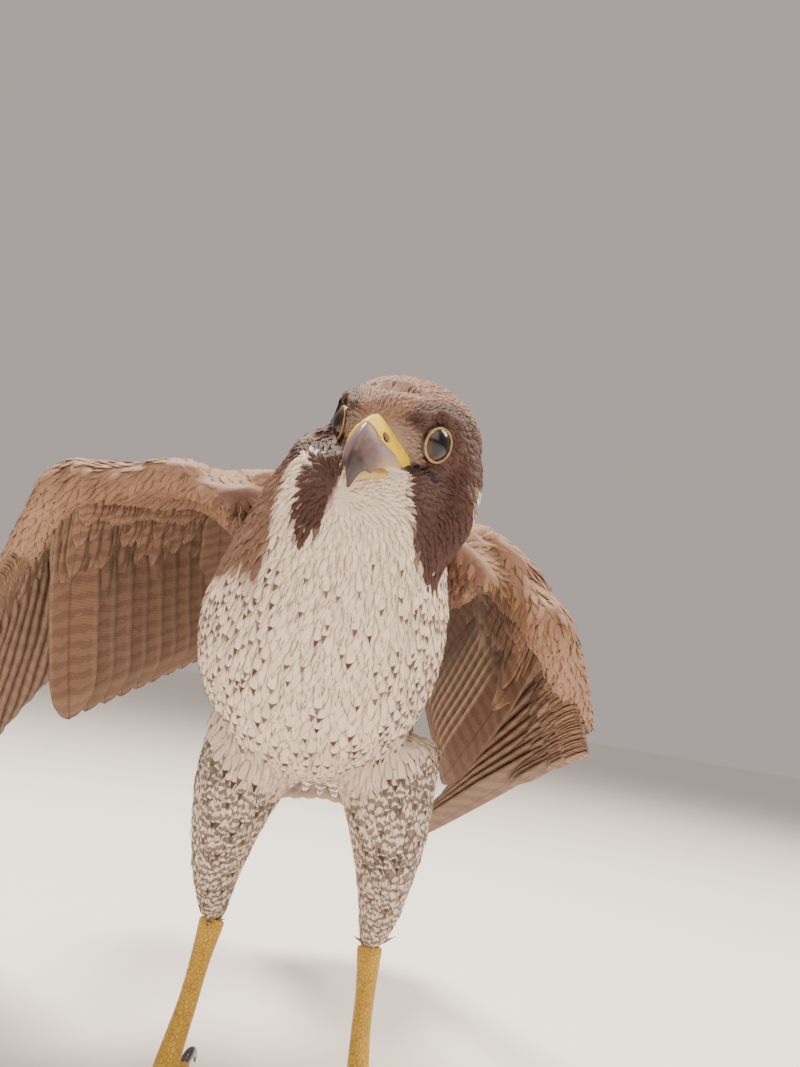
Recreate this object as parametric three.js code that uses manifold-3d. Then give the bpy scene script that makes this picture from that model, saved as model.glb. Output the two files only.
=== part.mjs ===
// A life-size peregrine falcon that stands on the floor with its wings half open and its head turned
// down to its right. Millimetres, +Z up. The bird faces -Y and its left side is +X.
import * as THREE from "three";
import { mergeVertices } from "three/addons/utils/BufferGeometryUtils.js";
import Module from "manifold-3d";

const wasm = await Module();
wasm.setup();

// Driving sizes of the whole bird, in its own frame: x to the bird's left, y to its tail, z up.
const GAP = 0.35; // left between neighbours that touch
const HEAD_CENTRE = [8.5, -94.8, 261.6]; // midway between the eyes
const HEAD_YAW = 18; // degrees, to the bird's right
const HEAD_PITCH = 22.8; // degrees, bill down
const HEAD_ROLL = 8.6; // degrees, left side down
const EYE_RADIUS = 8.2;
const EYE_CENTRE = [13.2, -1.4, 0.4]; // left eye, in the head's frame
const EYE_LOOK = [0.84, -0.54, 0.05]; // the way the left eye looks out
const TAIL_ROOT = [0, 92, 152];
const TAIL_LENGTH = 152;
const TAIL_DROOP = 21; // degrees below the horizon
const TAIL_FAN = 19; // degrees from the middle to the outermost feather
const ANKLE = [36, 30, 62]; // left leg
const FOOT = [39, 5, 10]; // where the left toes meet
const PAD_HEIGHT = 5; // from the floor to the toes' middle line

// Stations of the trunk and neck: middle, half width and half depth.
const TRUNK = [
  { at: [0, 103, 151], wide: 15, deep: 9 },
  { at: [0, 88, 157], wide: 26, deep: 18 },
  { at: [0, 66, 164], wide: 37, deep: 31 },
  { at: [-3, 36, 171], wide: 43, deep: 43 },
  { at: [-6, 4, 179], wide: 48, deep: 48 },
  { at: [-7, -28, 191], wide: 52, deep: 49 },
  { at: [-4, -53, 208], wide: 48, deep: 43 },
  { at: [-1, -68, 226], wide: 41, deep: 38 },
  { at: [3, -77, 243], wide: 36, deep: 36 },
  { at: [6, -80, 258], wide: 30, deep: 31 },
  { at: [7, -80, 268], wide: 18, deep: 20 },
];

// Each wing's joints, and its feathers' directions from the outermost primary to the innermost tertial.
const RIGHT_WING = {
  side: -1,
  shoulder: [-38, -30, 241],
  elbow: [-78, 28, 258],
  wrist: [-120, -42, 236],
  hand: [-0.5, 0.7, -0.51],
  innerPrimary: [-0.25, 0.75, -0.61],
  outerPrimary: [-0.46, 0.73, -0.51],
  outerSecondary: [-0.2, 0.68, -0.71],
  innerSecondary: [0.04, 0.7, -0.71],
  tertial: [0.1, 0.86, -0.5],
  webRise: 12, // how far the web's leading edge bows up between the shoulder and the wrist
};
const LEFT_WING = {
  side: 1,
  shoulder: [38, -32, 232],
  elbow: [64, 30, 246],
  wrist: [83, -42, 211],
  hand: [0.42, 0.82, -0.38],
  innerPrimary: [0.04, 0.9, -0.43],
  outerPrimary: [-0.28, 0.93, -0.24],
  outerSecondary: [0.02, 0.82, -0.57],
  innerSecondary: [-0.22, 0.74, -0.64],
  tertial: [-0.22, 0.84, -0.5],
  webRise: 18,
};
const HAND_LENGTH = 88;
const PRIMARIES = 10;
const SECONDARIES = 10;
const TERTIALS = 3;
const PRIMARY_LENGTHS = [138, 146, 155, 166, 180, 197, 215, 231, 240, 226]; // innermost to outermost
const SECONDARY_LENGTH = [128, 112]; // outermost and innermost
const TERTIAL_LENGTH = [104, 78];

const COLOURS = {
  slate: new THREE.Color(0.27, 0.2, 0.165),
  hood: new THREE.Color(0.2, 0.14, 0.115),
  cream: new THREE.Color(0.66, 0.54, 0.45),
  yellow: new THREE.Color(0.8, 0.58, 0.07),
  horn: new THREE.Color(0.22, 0.19, 0.2),
  black: new THREE.Color(0.02, 0.016, 0.014),
};
const finish = (colour, roughness) =>
  new THREE.MeshStandardMaterial({ color: COLOURS[colour], roughness, metalness: 0 });
const MATERIALS = {
  slate: finish("slate", 0.75),
  hood: finish("hood", 0.75),
  cream: finish("cream", 0.8),
  yellow: finish("yellow", 0.45),
  horn: finish("horn", 0.35),
  black: finish("black", 0.05),
};

const vec = (a) => (a.isVector3 ? a.clone() : new THREE.Vector3(...a));
const mix = (a, b, t) => vec(a).lerp(vec(b), t);
const between = (a, b, t) => a + (b - a) * t;
const radians = THREE.MathUtils.degToRad;
const aim = (a, b, t) => mix(a, b, t).normalize();
const turn = (a, b, degrees) =>
  vec(a).multiplyScalar(Math.cos(radians(degrees))).addScaledVector(b, Math.sin(radians(degrees)));
const plus = (a, ...terms) => terms.reduce((sum, [b, k]) => sum.addScaledVector(vec(b), k), vec(a));

function surface(points, index) {
  const positions = new Float32Array(points.flatMap((p) => [p.x, p.y, p.z]));
  const geometry = new THREE.BufferGeometry();
  geometry.setAttribute("position", new THREE.BufferAttribute(positions, 3));
  geometry.setIndex(index);
  return geometry;
}

// A closed surface from rings of points that run round the same way, with a point at each end.
function skinOver(rings, first, last) {
  const around = rings[0].length;
  const points = [first, ...rings.flat(), last];
  const index = [];
  for (let j = 0; j < around; j++) {
    const k = (j + 1) % around;
    index.push(0, 1 + k, 1 + j);
    for (let i = 0; i + 1 < rings.length; i++) {
      const a = 1 + i * around;
      const b = a + around;
      index.push(a + j, a + k, b + j, a + k, b + k, b + j);
    }
    const z = 1 + (rings.length - 1) * around;
    index.push(z + j, z + k, points.length - 1);
  }
  return surface(points, index);
}

// A geometry as a solid, turned right side out if its faces point inwards.
function solid(geometry) {
  const bare = geometry.clone();
  bare.deleteAttribute("normal");
  bare.deleteAttribute("uv");
  const merged = mergeVertices(bare, 1e-4);
  const vertProperties = merged.attributes.position.array;
  const triVerts = new Uint32Array(merged.index.array);
  const made = new wasm.Manifold(new wasm.Mesh({ numProp: 3, vertProperties, triVerts }));
  if (made.volume() > 0) return made;
  for (let i = 0; i < triVerts.length; i += 3) {
    [triVerts[i + 1], triVerts[i + 2]] = [triVerts[i + 2], triVerts[i + 1]];
  }
  return new wasm.Manifold(new wasm.Mesh({ numProp: 3, vertProperties, triVerts }));
}

const join = (solids) => solids.reduce((a, b) => a.add(b));

// The largest closed body of a solid, without any hollow sealed inside it.
function largest(made) {
  const bodies = made.decompose().filter((b) => b.volume() > 0);
  return bodies.sort((a, b) => b.volume() - a.volume())[0];
}

// The part of a solid on the side of a plane that its normal points to, half a gap clear of the plane.
function beyond(made, point, normal) {
  const n = vec(normal).normalize();
  return made.trimByPlane([n.x, n.y, n.z], n.dot(vec(point)) + GAP / 2);
}
const behind = (made, point, normal) => beyond(made, point, vec(normal).negate());

// A smooth tube: at each station an ellipse of half sizes wide and deep, in the plane of the unit vectors
// u and v. It closes in a point at each end, the last one where end says.
function loft(stations, around = 16, end = null) {
  const rings = stations.map(({ at, u, v, wide, deep }) =>
    Array.from({ length: around }, (_, j) => {
      const a = (2 * Math.PI * j) / around;
      return vec(at)
        .addScaledVector(u, wide * Math.cos(a))
        .addScaledVector(v, deep * Math.sin(a));
    }),
  );
  const tip = (near, next) => {
    const out = vec(near.at).sub(vec(next.at)).normalize();
    return vec(near.at).addScaledVector(out, 0.45 * Math.min(near.wide, near.deep));
  };
  const first = tip(stations[0], stations[1]);
  const last = end ? vec(end) : tip(stations.at(-1), stations.at(-2));
  return solid(skinOver(rings, first, last));
}

// A limb along points, round or oval, thickest as its radii say: each radius is one number or [across, up].
function limb(points, radii, up = [0, 0, 1], around = 10) {
  const line = points.map(vec);
  return loft(
    line.map((at, i) => {
      const along = line[Math.min(i + 1, line.length - 1)].clone().sub(line[Math.max(i - 1, 0)]);
      const u = along.clone().cross(vec(up)).normalize();
      const v = u.clone().cross(along).normalize();
      const [wide, deep] = [radii[i]].flat().length > 1 ? radii[i] : [radii[i], radii[i]];
      return { at, u, v, wide, deep };
    }),
    around,
  );
}

// One feather as a thin closed vane. Its shaft leaves root along dir, with its upper face towards up, and
// bends towards the body by sweep and down by droop, both for each hundred of its length squared. outer and
// inner are the widths on each side of the shaft, and roll tips the outer edge up.
// Outlines: [place along the shaft, share of the width].
const BROAD = [[0, 0.55], [0.65, 1], [1, 0.5]];
const POINTED = [[0, 0.45], [0.3, 0.95], [0.75, 0.85], [1, 0.2]];
const SHORT = [[0, 0.6], [0.7, 1], [1, 0.45]];
function vane({ root, dir, up, side, length, outer, inner, ...more }) {
  const { shape = BROAD, sweep = 0, droop = 3, roll = 10, thick = [1.4, 0.6], ridged = true } = more;
  const along = vec(dir).normalize();
  const out = along.clone().cross(vec(up)).multiplyScalar(side).normalize();
  const top = out.clone().cross(along).multiplyScalar(side).normalize();
  const tipped = turn(out, top, roll);
  const lift = turn(top, out, -roll);
  const across = ridged ? [outer, 0, -inner] : [outer, -inner];
  const rings = shape.map(([t, share]) => {
    const reach = length * t;
    const bend = (reach / 100) ** 2;
    const shaft = plus(root, [along, reach], [out, -sweep * bend], [top, -droop * bend]);
    const half = between(thick[0], thick[1], t) / 2;
    const point = (width, over) => {
      const rise = over * half * (width ? 0.75 : 1) - 0.05 * Math.abs(width);
      return plus(shaft, [tipped, width * share], [lift, rise]);
    };
    return [...across.map((w) => point(w, 1)), ...across.map((w) => point(w, -1)).reverse()];
  });
  return solid(vaneSkin(rings));
}

// The closed surface of a vane's rings, with both faces split alike.
function vaneSkin(rings) {
  const around = rings[0].length;
  const half = around / 2;
  const index = [];
  const quad = (a, b, c, d) => index.push(a, b, c, a, c, d);
  const other = (a, b, c, d) => index.push(a, b, d, b, c, d);
  for (let i = 0; i + 1 < rings.length; i++) {
    const a = i * around;
    const b = a + around;
    for (let j = 0; j + 1 < half; j++) {
      const k = half + j;
      quad(a + j, b + j, b + j + 1, a + j + 1);
      other(a + k, b + k, b + k + 1, a + k + 1);
    }
    quad(a + half - 1, b + half - 1, b + half, a + half);
    quad(a + around - 1, b + around - 1, b, a);
  }
  const z = (rings.length - 1) * around;
  for (let j = 0; j + 1 < half; j++) {
    const k = around - 1 - j;
    quad(j, j + 1, k - 1, k);
    quad(z + j + 1, z + j, z + k, z + k - 1);
  }
  return surface(rings.flat(), index);
}

// Trunk and neck as one form, grown by a gap where it cuts its neighbours clear
function trunk(grow) {
  const middles = TRUNK.map((s) => s.at);
  const sizes = TRUNK.map((s) => [s.wide + grow, s.deep + grow]);
  return limb(middles, sizes, [0, 0.6, 0.8], 24);
}
const NECK_TOP = { at: [9, -80, 243], normal: [0.05, -0.5, 0.86] };
const NECK_BASE = { at: [0, -60, 216], normal: [0, -0.62, 0.78] };

// The head's own frame: bill towards -y, left eye towards +x, its origin midway between the eyes
const headFrame = new THREE.Matrix4()
  .makeTranslation(...HEAD_CENTRE)
  .multiply(new THREE.Matrix4().makeRotationZ(radians(-HEAD_YAW)))
  .multiply(new THREE.Matrix4().makeRotationX(radians(HEAD_PITCH)))
  .multiply(new THREE.Matrix4().makeRotationY(radians(HEAD_ROLL)));
const inHead = (made) => made.transform([...headFrame.elements]);
const mirrored = (a, side) => [a[0] * side, a[1], a[2]];

// Skull and face feathers: sections from the bill's root back to the nape
const HEAD_SECTIONS = [
  { at: [0, -21.5, -2], wide: 9, deep: 10 },
  { at: [0, -15, -1.5], wide: 13.4, deep: 15 },
  { at: [0, -6, -1.2], wide: 20, deep: 20 },
  { at: [0, 4, -1.2], wide: 25.5, deep: 22 },
  { at: [0, 16, -1.6], wide: 28.5, deep: 23 },
  { at: [0, 28, -4.5], wide: 27, deep: 21.8 },
  { at: [0, 38, -9], wide: 20, deep: 16.5 },
  { at: [0, 44, -12], wide: 11, deep: 9 },
];
const BROW = {
  points: [[9, -16, 6.5], [15.4, -9, 9], [20.4, 1, 9], [23.5, 11, 5.5]],
  radii: [1.6, 2.8, 3, 1.8],
};
const CHEEK = {
  points: [[22, 14, 0], [23.5, 13, -12], [22.5, 8, -26], [19, 2, -42]],
  radii: [7, 9.5, 11, 9],
};
function skull() {
  const middles = HEAD_SECTIONS.map((s) => s.at);
  const form = limb(middles, HEAD_SECTIONS.map((s) => [s.wide, s.deep]), [0, 0, 1], 20);
  const pair = (points, radii, around) =>
    [1, -1].map((side) => limb(points.map((p) => mirrored(p, side)), radii, [0, 0, 1], around));
  return join([form, ...pair(BROW.points, BROW.radii, 6), ...pair(CHEEK.points, CHEEK.radii, 8)]);
}

// Along the eye's look, a ring of given radius at a distance from the eye's middle
function eyeTube(side, from, to, radiusFrom, radiusTo) {
  const look = vec(mirrored(EYE_LOOK, side)).normalize();
  const middle = mirrored(EYE_CENTRE, side);
  const ends = [plus(middle, [look, from]), plus(middle, [look, to])];
  return limb(ends, [radiusFrom, radiusTo], [0, 0, 1], 12);
}
const eyeball = (side, grow) =>
  solid(new THREE.SphereGeometry(EYE_RADIUS + grow, 12, 9)).translate(mirrored(EYE_CENTRE, side));
const LID_RADIUS = 6.1;
const LID_TUBE = 1.1;
const LID_FORWARD = 5.4; // from the eye's middle, along its look
function lids(side) {
  const look = vec(mirrored(EYE_LOOK, side)).normalize();
  const ring = new THREE.TorusGeometry(LID_RADIUS, LID_TUBE, 5, 14);
  ring.applyQuaternion(new THREE.Quaternion().setFromUnitVectors(new THREE.Vector3(0, 0, 1), look));
  const at = plus(mirrored(EYE_CENTRE, side), [look, LID_FORWARD]);
  return solid(ring).translate([at.x, at.y, at.z]);
}

// Bill: upper and lower points of each section, and its half width
const UPPER_BILL = [
  { top: [-13, 6.5], bottom: [-13, -8], wide: 9 },
  { top: [-21, 7.2], bottom: [-19, -8], wide: 8.8 },
  { top: [-27.5, 5.2], bottom: [-24, -8], wide: 7.6 },
  { top: [-31.8, 2], bottom: [-27, -8.6], wide: 6.2 },
  { top: [-35, -3], bottom: [-29.2, -9.6], wide: 4.4 },
  { top: [-36.3, -8.5], bottom: [-31.6, -10.2], wide: 2.6 },
  { top: [-35.6, -12.5], bottom: [-33, -12.8], wide: 1.3 },
];
const BILL_TIP = [0, -34.5, -16];
const CERE_FRONT = { at: [0, -27.2, 5], normal: [0, -0.92, -0.3] };
function upperBill(grow) {
  const stations = UPPER_BILL.map(({ top, bottom, wide }) => {
    const [high, low] = [new THREE.Vector3(0, ...top), new THREE.Vector3(0, ...bottom)];
    const rise = high.clone().sub(low);
    return {
      at: mix(high, low, 0.5),
      u: new THREE.Vector3(1, 0, 0),
      v: rise.clone().normalize(),
      wide: wide + grow,
      deep: rise.length() / 2 + grow,
    };
  });
  return loft(stations, 14, plus(BILL_TIP, [[0, 0, -1], grow]));
}
function lowerBill(grow) {
  const middles = [[0, -10, -11.2], [0, -18, -11], [0, -24, -10.9], [0, -28, -11]];
  const sizes = [[8, 3.4], [7.4, 3.2], [5.6, 2.7], [3, 1.7]];
  return limb(middles, sizes.map(([w, d]) => [w + grow, d + grow]), [0, 0, 1], 12);
}
const NOSTRIL = { at: [5.9, -24.2, 0.4], radius: 1.6, depth: 5 };
function nostril(side) {
  const at = mirrored(NOSTRIL.at, side);
  const look = new THREE.Vector3(side, -0.35, 0.1).normalize();
  const ends = [plus(at, [look, -NOSTRIL.depth / 2]), plus(at, [look, NOSTRIL.depth])];
  return limb(ends, [NOSTRIL.radius * 0.8, NOSTRIL.radius * 1.2], [0, 0, 1], 8);
}

function headParts() {
  const sockets = [1, -1].map((side) => eyeTube(side, 3.2, 14, LID_RADIUS + 0.4, 12));
  const balls = [1, -1].map((side) => eyeball(side, GAP));
  let head = skull();
  for (const hole of [...sockets, upperBill(GAP), lowerBill(GAP)]) head = head.subtract(hole);
  head = join([head, lids(1), lids(-1)]);
  for (const ball of balls) head = head.subtract(ball);
  let beak = upperBill(0);
  const cere = behind(beak, CERE_FRONT.at, CERE_FRONT.normal).subtract(nostril(1)).subtract(nostril(-1));
  beak = beyond(beak, CERE_FRONT.at, CERE_FRONT.normal);
  return { head, beak, cere, lower: lowerBill(0).subtract(upperBill(GAP)) };
}

// The wing's feathers in three rows from the body outwards: root on the bones, direction and upper face.
// The feathers of a row lie in one plane, and step lifts each over the next one outwards: none cross.
function wingFan(wing) {
  const { side, shoulder, elbow, wrist, hand } = wing;
  const handLine = vec(hand).normalize();
  const armLine = vec(wrist).sub(vec(elbow)).normalize();
  const faceOver = (line, dir) => {
    const face = vec(line).cross(vec(dir)).normalize();
    return face.z < 0 ? face.negate() : face;
  };
  const square = (dir, face) => plus(dir, [face, -vec(dir).dot(face)]).normalize();
  const row = (kind, count, step, up, make) => {
    const middle = make(0.5).root;
    return Array.from({ length: count }, (_, i) => {
      const t = i / (count - 1);
      const { root, dir, length } = make(t, i);
      const level = plus(root, [up, -vec(root).sub(vec(middle)).dot(up) + step * (0.5 - t) * (count - 1)]);
      return { kind, side, t, up, length, root: level, dir: square(dir, up) };
    });
  };
  const armFace = faceOver(armLine, aim(wing.outerSecondary, wing.innerSecondary, 0.5));
  const handFace = faceOver(handLine, wing.innerPrimary);
  const bodyFace = aim([-0.1 * side, 0.45, 0.88], armFace, 0.6);
  const tertials = row("tertial", TERTIALS, 1.5, bodyFace, (t) => ({
    root: mix(mix(shoulder, elbow, 0.64), elbow, t),
    dir: aim(wing.tertial, wing.innerSecondary, t * 0.9),
    length: between(TERTIAL_LENGTH[1], TERTIAL_LENGTH[0], t),
  }));
  const secondaries = row("secondary", SECONDARIES, 0.1, armFace, (t) => ({
    root: mix(elbow, wrist, 0.05 + 0.9 * t),
    dir: aim(wing.innerSecondary, wing.outerSecondary, t),
    length: between(SECONDARY_LENGTH[1], SECONDARY_LENGTH[0], t),
  }));
  const primaries = row("primary", PRIMARIES, 1.6, handFace, (t, i) => ({
    root: plus(wrist, [handLine, HAND_LENGTH * (0.08 + 0.9 * t)]),
    dir: aim(wing.innerPrimary, wing.outerPrimary, t),
    length: PRIMARY_LENGTHS[i],
  }));
  return { tertials, secondaries, primaries };
}

const FLIGHT = {
  tertial: { outer: 11, inner: 13, roll: 4 },
  secondary: { outer: 9, inner: 14, roll: 12, droop: 5, sweep: 2 },
  primary: { outer: 6, inner: 15, roll: 2, droop: 1, sweep: 3, shape: POINTED, thick: [1.2, 0.6] },
};

// A tier of coverts over or under a row, one for every few feathers: share is their part of the flight
// feather's length, lift their height over its face, and slope how far they come down to it by their tip.
function coverts(row, { every, share, lift, slope, wide, roll }) {
  return row
    .filter((_, i) => i % every === 0)
    .map((f) => {
      const root = plus(f.root, [f.up, lift]);
      const dir = plus(f.dir, [f.up, slope]);
      const length = share * Math.min(f.length, 150) + 14;
      const size = { length, outer: 0.5 * wide, inner: 1.4 * wide, roll, shape: SHORT, ridged: false };
      return vane({ ...f, root, dir, ...size });
    });
}
const GREATER = { every: 3, share: 0.36, lift: 6, slope: -0.02, wide: 16, roll: 6 };
const MEDIAN = { every: 4, share: 0.16, lift: 9.8, slope: -0.04, wide: 21, roll: 4 };
const UNDER = { every: 4, share: 0.3, lift: -6.8, slope: 0.02, wide: 21, roll: 4 };
const plumage = (row, tiers) => [
  ...row.map((f) => vane({ ...f, ...FLIGHT[f.kind] })),
  ...tiers.flatMap((tier) => coverts(row, tier)),
];

// Skin and small feathers of the arm: upper arm, forearm, hand, and the web in front of the elbow
function armFlesh({ side, shoulder, elbow, wrist, webRise }) {
  const front = plus(shoulder, [[side, -2, 0], 9]);
  const web = [0, 0.25, 0.5, 0.78, 1].map((t) => {
    const lead = plus(mix(front, wrist, t), [[0, 0.7, 1], webRise * Math.sin(Math.PI * t)]);
    const bone = t < 0.5 ? mix(shoulder, elbow, 2 * t) : mix(elbow, wrist, 2 * t - 1);
    const across = bone.clone().sub(lead);
    const along = vec(wrist).sub(front);
    const v = along.clone().cross(across).normalize();
    const u = v.clone().cross(along).normalize();
    return { at: mix(lead, bone, 0.5), u, v, wide: Math.abs(across.dot(u)) / 2 + 8, deep: 9 };
  });
  return [
    limb([shoulder, mix(shoulder, elbow, 0.5), elbow], [20, 16, 12], [0, 0, 1], 8),
    limb([elbow, mix(elbow, wrist, 0.5), wrist], [12, 12.5, 11], [0, 0, 1], 8),
    loft(web, 8),
  ];
}
function handFlesh({ wrist, hand }) {
  const line = vec(hand).normalize();
  const middles = [0, 0.45, 1].map((t) => plus(wrist, [line, HAND_LENGTH * t]));
  return limb(middles, [[11, 10], [10, 10.5], [7, 8]], [0, 0, 1], 8);
}
function wingBody(wing, cutter) {
  const { tertials, secondaries, primaries } = wingFan(wing);
  const inner = plumage(tertials, [GREATER]);
  const outer = [secondaries, primaries].flatMap((row) => plumage(row, [GREATER, MEDIAN, UNDER]));
  return largest(join([...armFlesh(wing), handFlesh(wing), ...inner, ...outer]).subtract(cutter));
}

// Tail: twelve feathers spread from the root, and the coverts over and under them
const RECTRICES = 12;
const TAIL_STACK = 0.8; // each feather lies this far under the one before it, from the middle outwards
function tail(cutter) {
  const droop = radians(TAIL_DROOP);
  const fanned = (share, lift, dip) => {
    const a = radians(TAIL_FAN) * share;
    const dir = [Math.sin(a) * Math.cos(droop), Math.cos(a) * Math.cos(droop), -Math.sin(droop)];
    const up = new THREE.Vector3(0, Math.sin(droop), Math.cos(droop));
    const root = plus(TAIL_ROOT, [[1, 0, 0], 9 * share], [up, lift]);
    return { root, dir: plus(dir, [up, dip]), up, side: Math.sign(share) || 1 };
  };
  const feathers = Array.from({ length: RECTRICES }, (_, i) => {
    const share = (2 * i) / (RECTRICES - 1) - 1;
    const order = 2 * Math.floor(Math.abs(i - (RECTRICES - 1) / 2)) + (share > 0 ? 1 : 0);
    const length = TAIL_LENGTH * (1 - 0.06 * share ** 2);
    const size = { length, outer: 9.5, inner: 11.5, roll: 0, droop: 1, thick: [1.4, 0.7], ridged: false };
    return vane({ ...fanned(share, 3 - TAIL_STACK * order, 0), ...size });
  });
  const tier = (lift, step, length) =>
    [0, 0.5, -0.5, 1, -1].map((share, i) => {
      const size = { length, outer: 9, inner: 9, roll: 0, shape: SHORT, ridged: false };
      return vane({ ...fanned(share * 0.9, lift - step * i, 0), ...size });
    });
  const stump = limb([plus(TAIL_ROOT, [[0, 1, 0.3], -14]), TAIL_ROOT, plus(TAIL_ROOT, [[0, 1, -0.36], 22])],
    [[22, 15], [18, 13], [10, 9]], [0, 0, 1], 12);
  return largest(join([stump, ...feathers, ...tier(9, 1.2, 62), ...tier(-12, -1.2, 74)]).subtract(cutter));
}

// Leg: feathered thigh, scaled shank, and a foot of four toes with its claws
const THIGH = {
  points: [[27, 8, 152], [34, 8, 122], [37, 19, 90], [36, 28, 68]],
  radii: [27, [20, 24], [13, 15.5], 8],
};
const SHANK = {
  points: [ANKLE, [37.5, 17, 34], [FOOT[0], FOOT[1] + 3, 17], FOOT],
  radii: [6, 4.6, 5, 6],
};
const ANKLE_CUT = { at: [36, 28, 69], normal: [0, 0.12, -1] };
const FOOT_CUT = { at: [38.6, 9, 17], normal: [0, -0.35, -1] };
const TOES = [
  { name: "inner", heading: 38, length: 31 },
  { name: "middle", heading: 6, length: 45 },
  { name: "outer", heading: -46, length: 35 },
  { name: "hind", heading: 170, length: 23 },
];
const CLAW_ARC = [[-3, 6], [3, 8.4], [8.5, 8], [12.5, 5.4], [14.6, 1.6]]; // past the toe's end, and height
const CLAW_RADII = [3, 2.9, 2.3, 1.5, 0.6];
function toeLine(heading, length, side) {
  const a = radians(heading);
  const ahead = new THREE.Vector3(-Math.sin(a) * side, -Math.cos(a), 0);
  const base = vec(mirrored(FOOT, side));
  return { ahead, at: (distance, height) => plus([base.x, base.y, height], [ahead, distance]) };
}
function toe({ heading, length }, side) {
  const { at } = toeLine(heading, length, side);
  const shares = [0, 0.26, 0.44, 0.6, 0.78, 0.94];
  const radii = [5.6, 5.2, 4.2, 5, 3.9, 4.6];
  const heights = [9, 6, PAD_HEIGHT, PAD_HEIGHT - 0.4, PAD_HEIGHT, PAD_HEIGHT - 0.6];
  return limb(shares.map((s, i) => at(s * length, heights[i])), radii, [0, 0, 1], 7);
}
function claw({ heading, length }, side, grow) {
  const { at, ahead } = toeLine(heading, length, side);
  const across = ahead.clone().cross(new THREE.Vector3(0, 0, 1));
  const line = CLAW_ARC.map(([d, h]) => at(length + d, h));
  const stations = line.map((p, i) => {
    const along = line[Math.min(i + 1, 4)].clone().sub(line[Math.max(i - 1, 0)]).normalize();
    const radius = CLAW_RADII[i];
    const v = across.clone().cross(along);
    return { at: p, u: across, v, wide: radius * 0.8 + grow, deep: radius + grow };
  });
  return loft(stations, 6);
}
const ground = (made) => made.trimByPlane([0, 0, 1], 0);

function legParts(side, cutter) {
  const flip = (a) => mirrored(a, side);
  const thigh = limb(THIGH.points.map(flip), THIGH.radii, [0, 1, 0], 14);
  const shank = limb(SHANK.points.map(flip), SHANK.radii, [0, 1, 0], 10);
  const leg = join([thigh, shank, ...TOES.map((t) => toe(t, side))]);
  const ankle = [flip(ANKLE_CUT.at), ANKLE_CUT.normal];
  const instep = [flip(FOOT_CUT.at), FOOT_CUT.normal];
  const sockets = join(TOES.map((t) => claw(t, side, GAP)));
  return {
    thigh: largest(behind(leg, ...ankle).subtract(cutter)),
    shank: largest(behind(beyond(leg, ...ankle), ...instep)),
    foot: largest(ground(beyond(leg, ...instep).subtract(sockets))),
    claws: TOES.map((t) => ({ toe: t.name, made: largest(ground(claw(t, side, 0))) })),
  };
}

// Every piece as a named mesh
const group = new THREE.Group();
group.name = "falcon";
function add(name, made, material) {
  const { vertProperties, triVerts } = made.getMesh();
  const geometry = new THREE.BufferGeometry();
  geometry.setAttribute("position", new THREE.BufferAttribute(new Float32Array(vertProperties), 3));
  geometry.setIndex([...triVerts]);
  geometry.computeVertexNormals();
  const mesh = new THREE.Mesh(geometry, MATERIALS[material]);
  mesh.name = name;
  group.add(mesh);
}

const cutter = trunk(GAP);
const { head, beak, cere, lower } = headParts();
const bodyWithHead = trunk(0);
const wholeHead = inHead(head);
const neckAndHead = beyond(bodyWithHead.add(wholeHead), NECK_BASE.at, NECK_BASE.normal);
const headHoles = join([upperBill(GAP), lowerBill(GAP), eyeball(1, GAP), eyeball(-1, GAP)]);
const clearHead = neckAndHead.subtract(inHead(headHoles));
add("head", largest(beyond(clearHead, NECK_TOP.at, NECK_TOP.normal)), "hood");
add("neck", largest(behind(clearHead, NECK_TOP.at, NECK_TOP.normal)), "cream");
add("torso", largest(behind(bodyWithHead, NECK_BASE.at, NECK_BASE.normal)), "cream");
add("cere", inHead(largest(cere)), "yellow");
add("upper_bill", inHead(largest(beak)), "horn");
add("lower_bill", inHead(largest(lower)), "horn");
add("tail", tail(cutter), "slate");
for (const [word, side, wing] of [["left", 1, LEFT_WING], ["right", -1, RIGHT_WING]]) {
  add(`eye_${word}`, inHead(eyeball(side, 0)), "black");
  add(`wing_${word}`, wingBody(wing, cutter), "slate");
  const leg = legParts(side, cutter);
  add(`thigh_${word}`, leg.thigh, "cream");
  add(`shank_${word}`, leg.shank, "yellow");
  add(`foot_${word}`, leg.foot, "yellow");
  for (const { toe: name, made } of leg.claws) add(`claw_${word}_${name}`, made, "black");
}

// The finished bird stands on the floor, with the middle of its outline over the origin
const box = new THREE.Box3().setFromObject(group);
const middle = box.getCenter(new THREE.Vector3());
for (const mesh of group.children) mesh.geometry.translate(-middle.x, -middle.y, -box.min.z);

export default group;
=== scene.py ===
# %% [markdown]
# # A peregrine falcon in its feathers
# The packed solids give a falcon's body, wings, tail, head and feet as plain faceted forms. This lesson
# dresses them: one smooth skin under the whole bird, about ten thousand small feathers that follow the way
# real ones lie, the big feathers of wings and tail, and the hard parts: eyes, bill, scaled feet and claws.

import bpy
import numpy as np
from mathutils import Matrix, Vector
from mathutils.kdtree import KDTree


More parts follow.
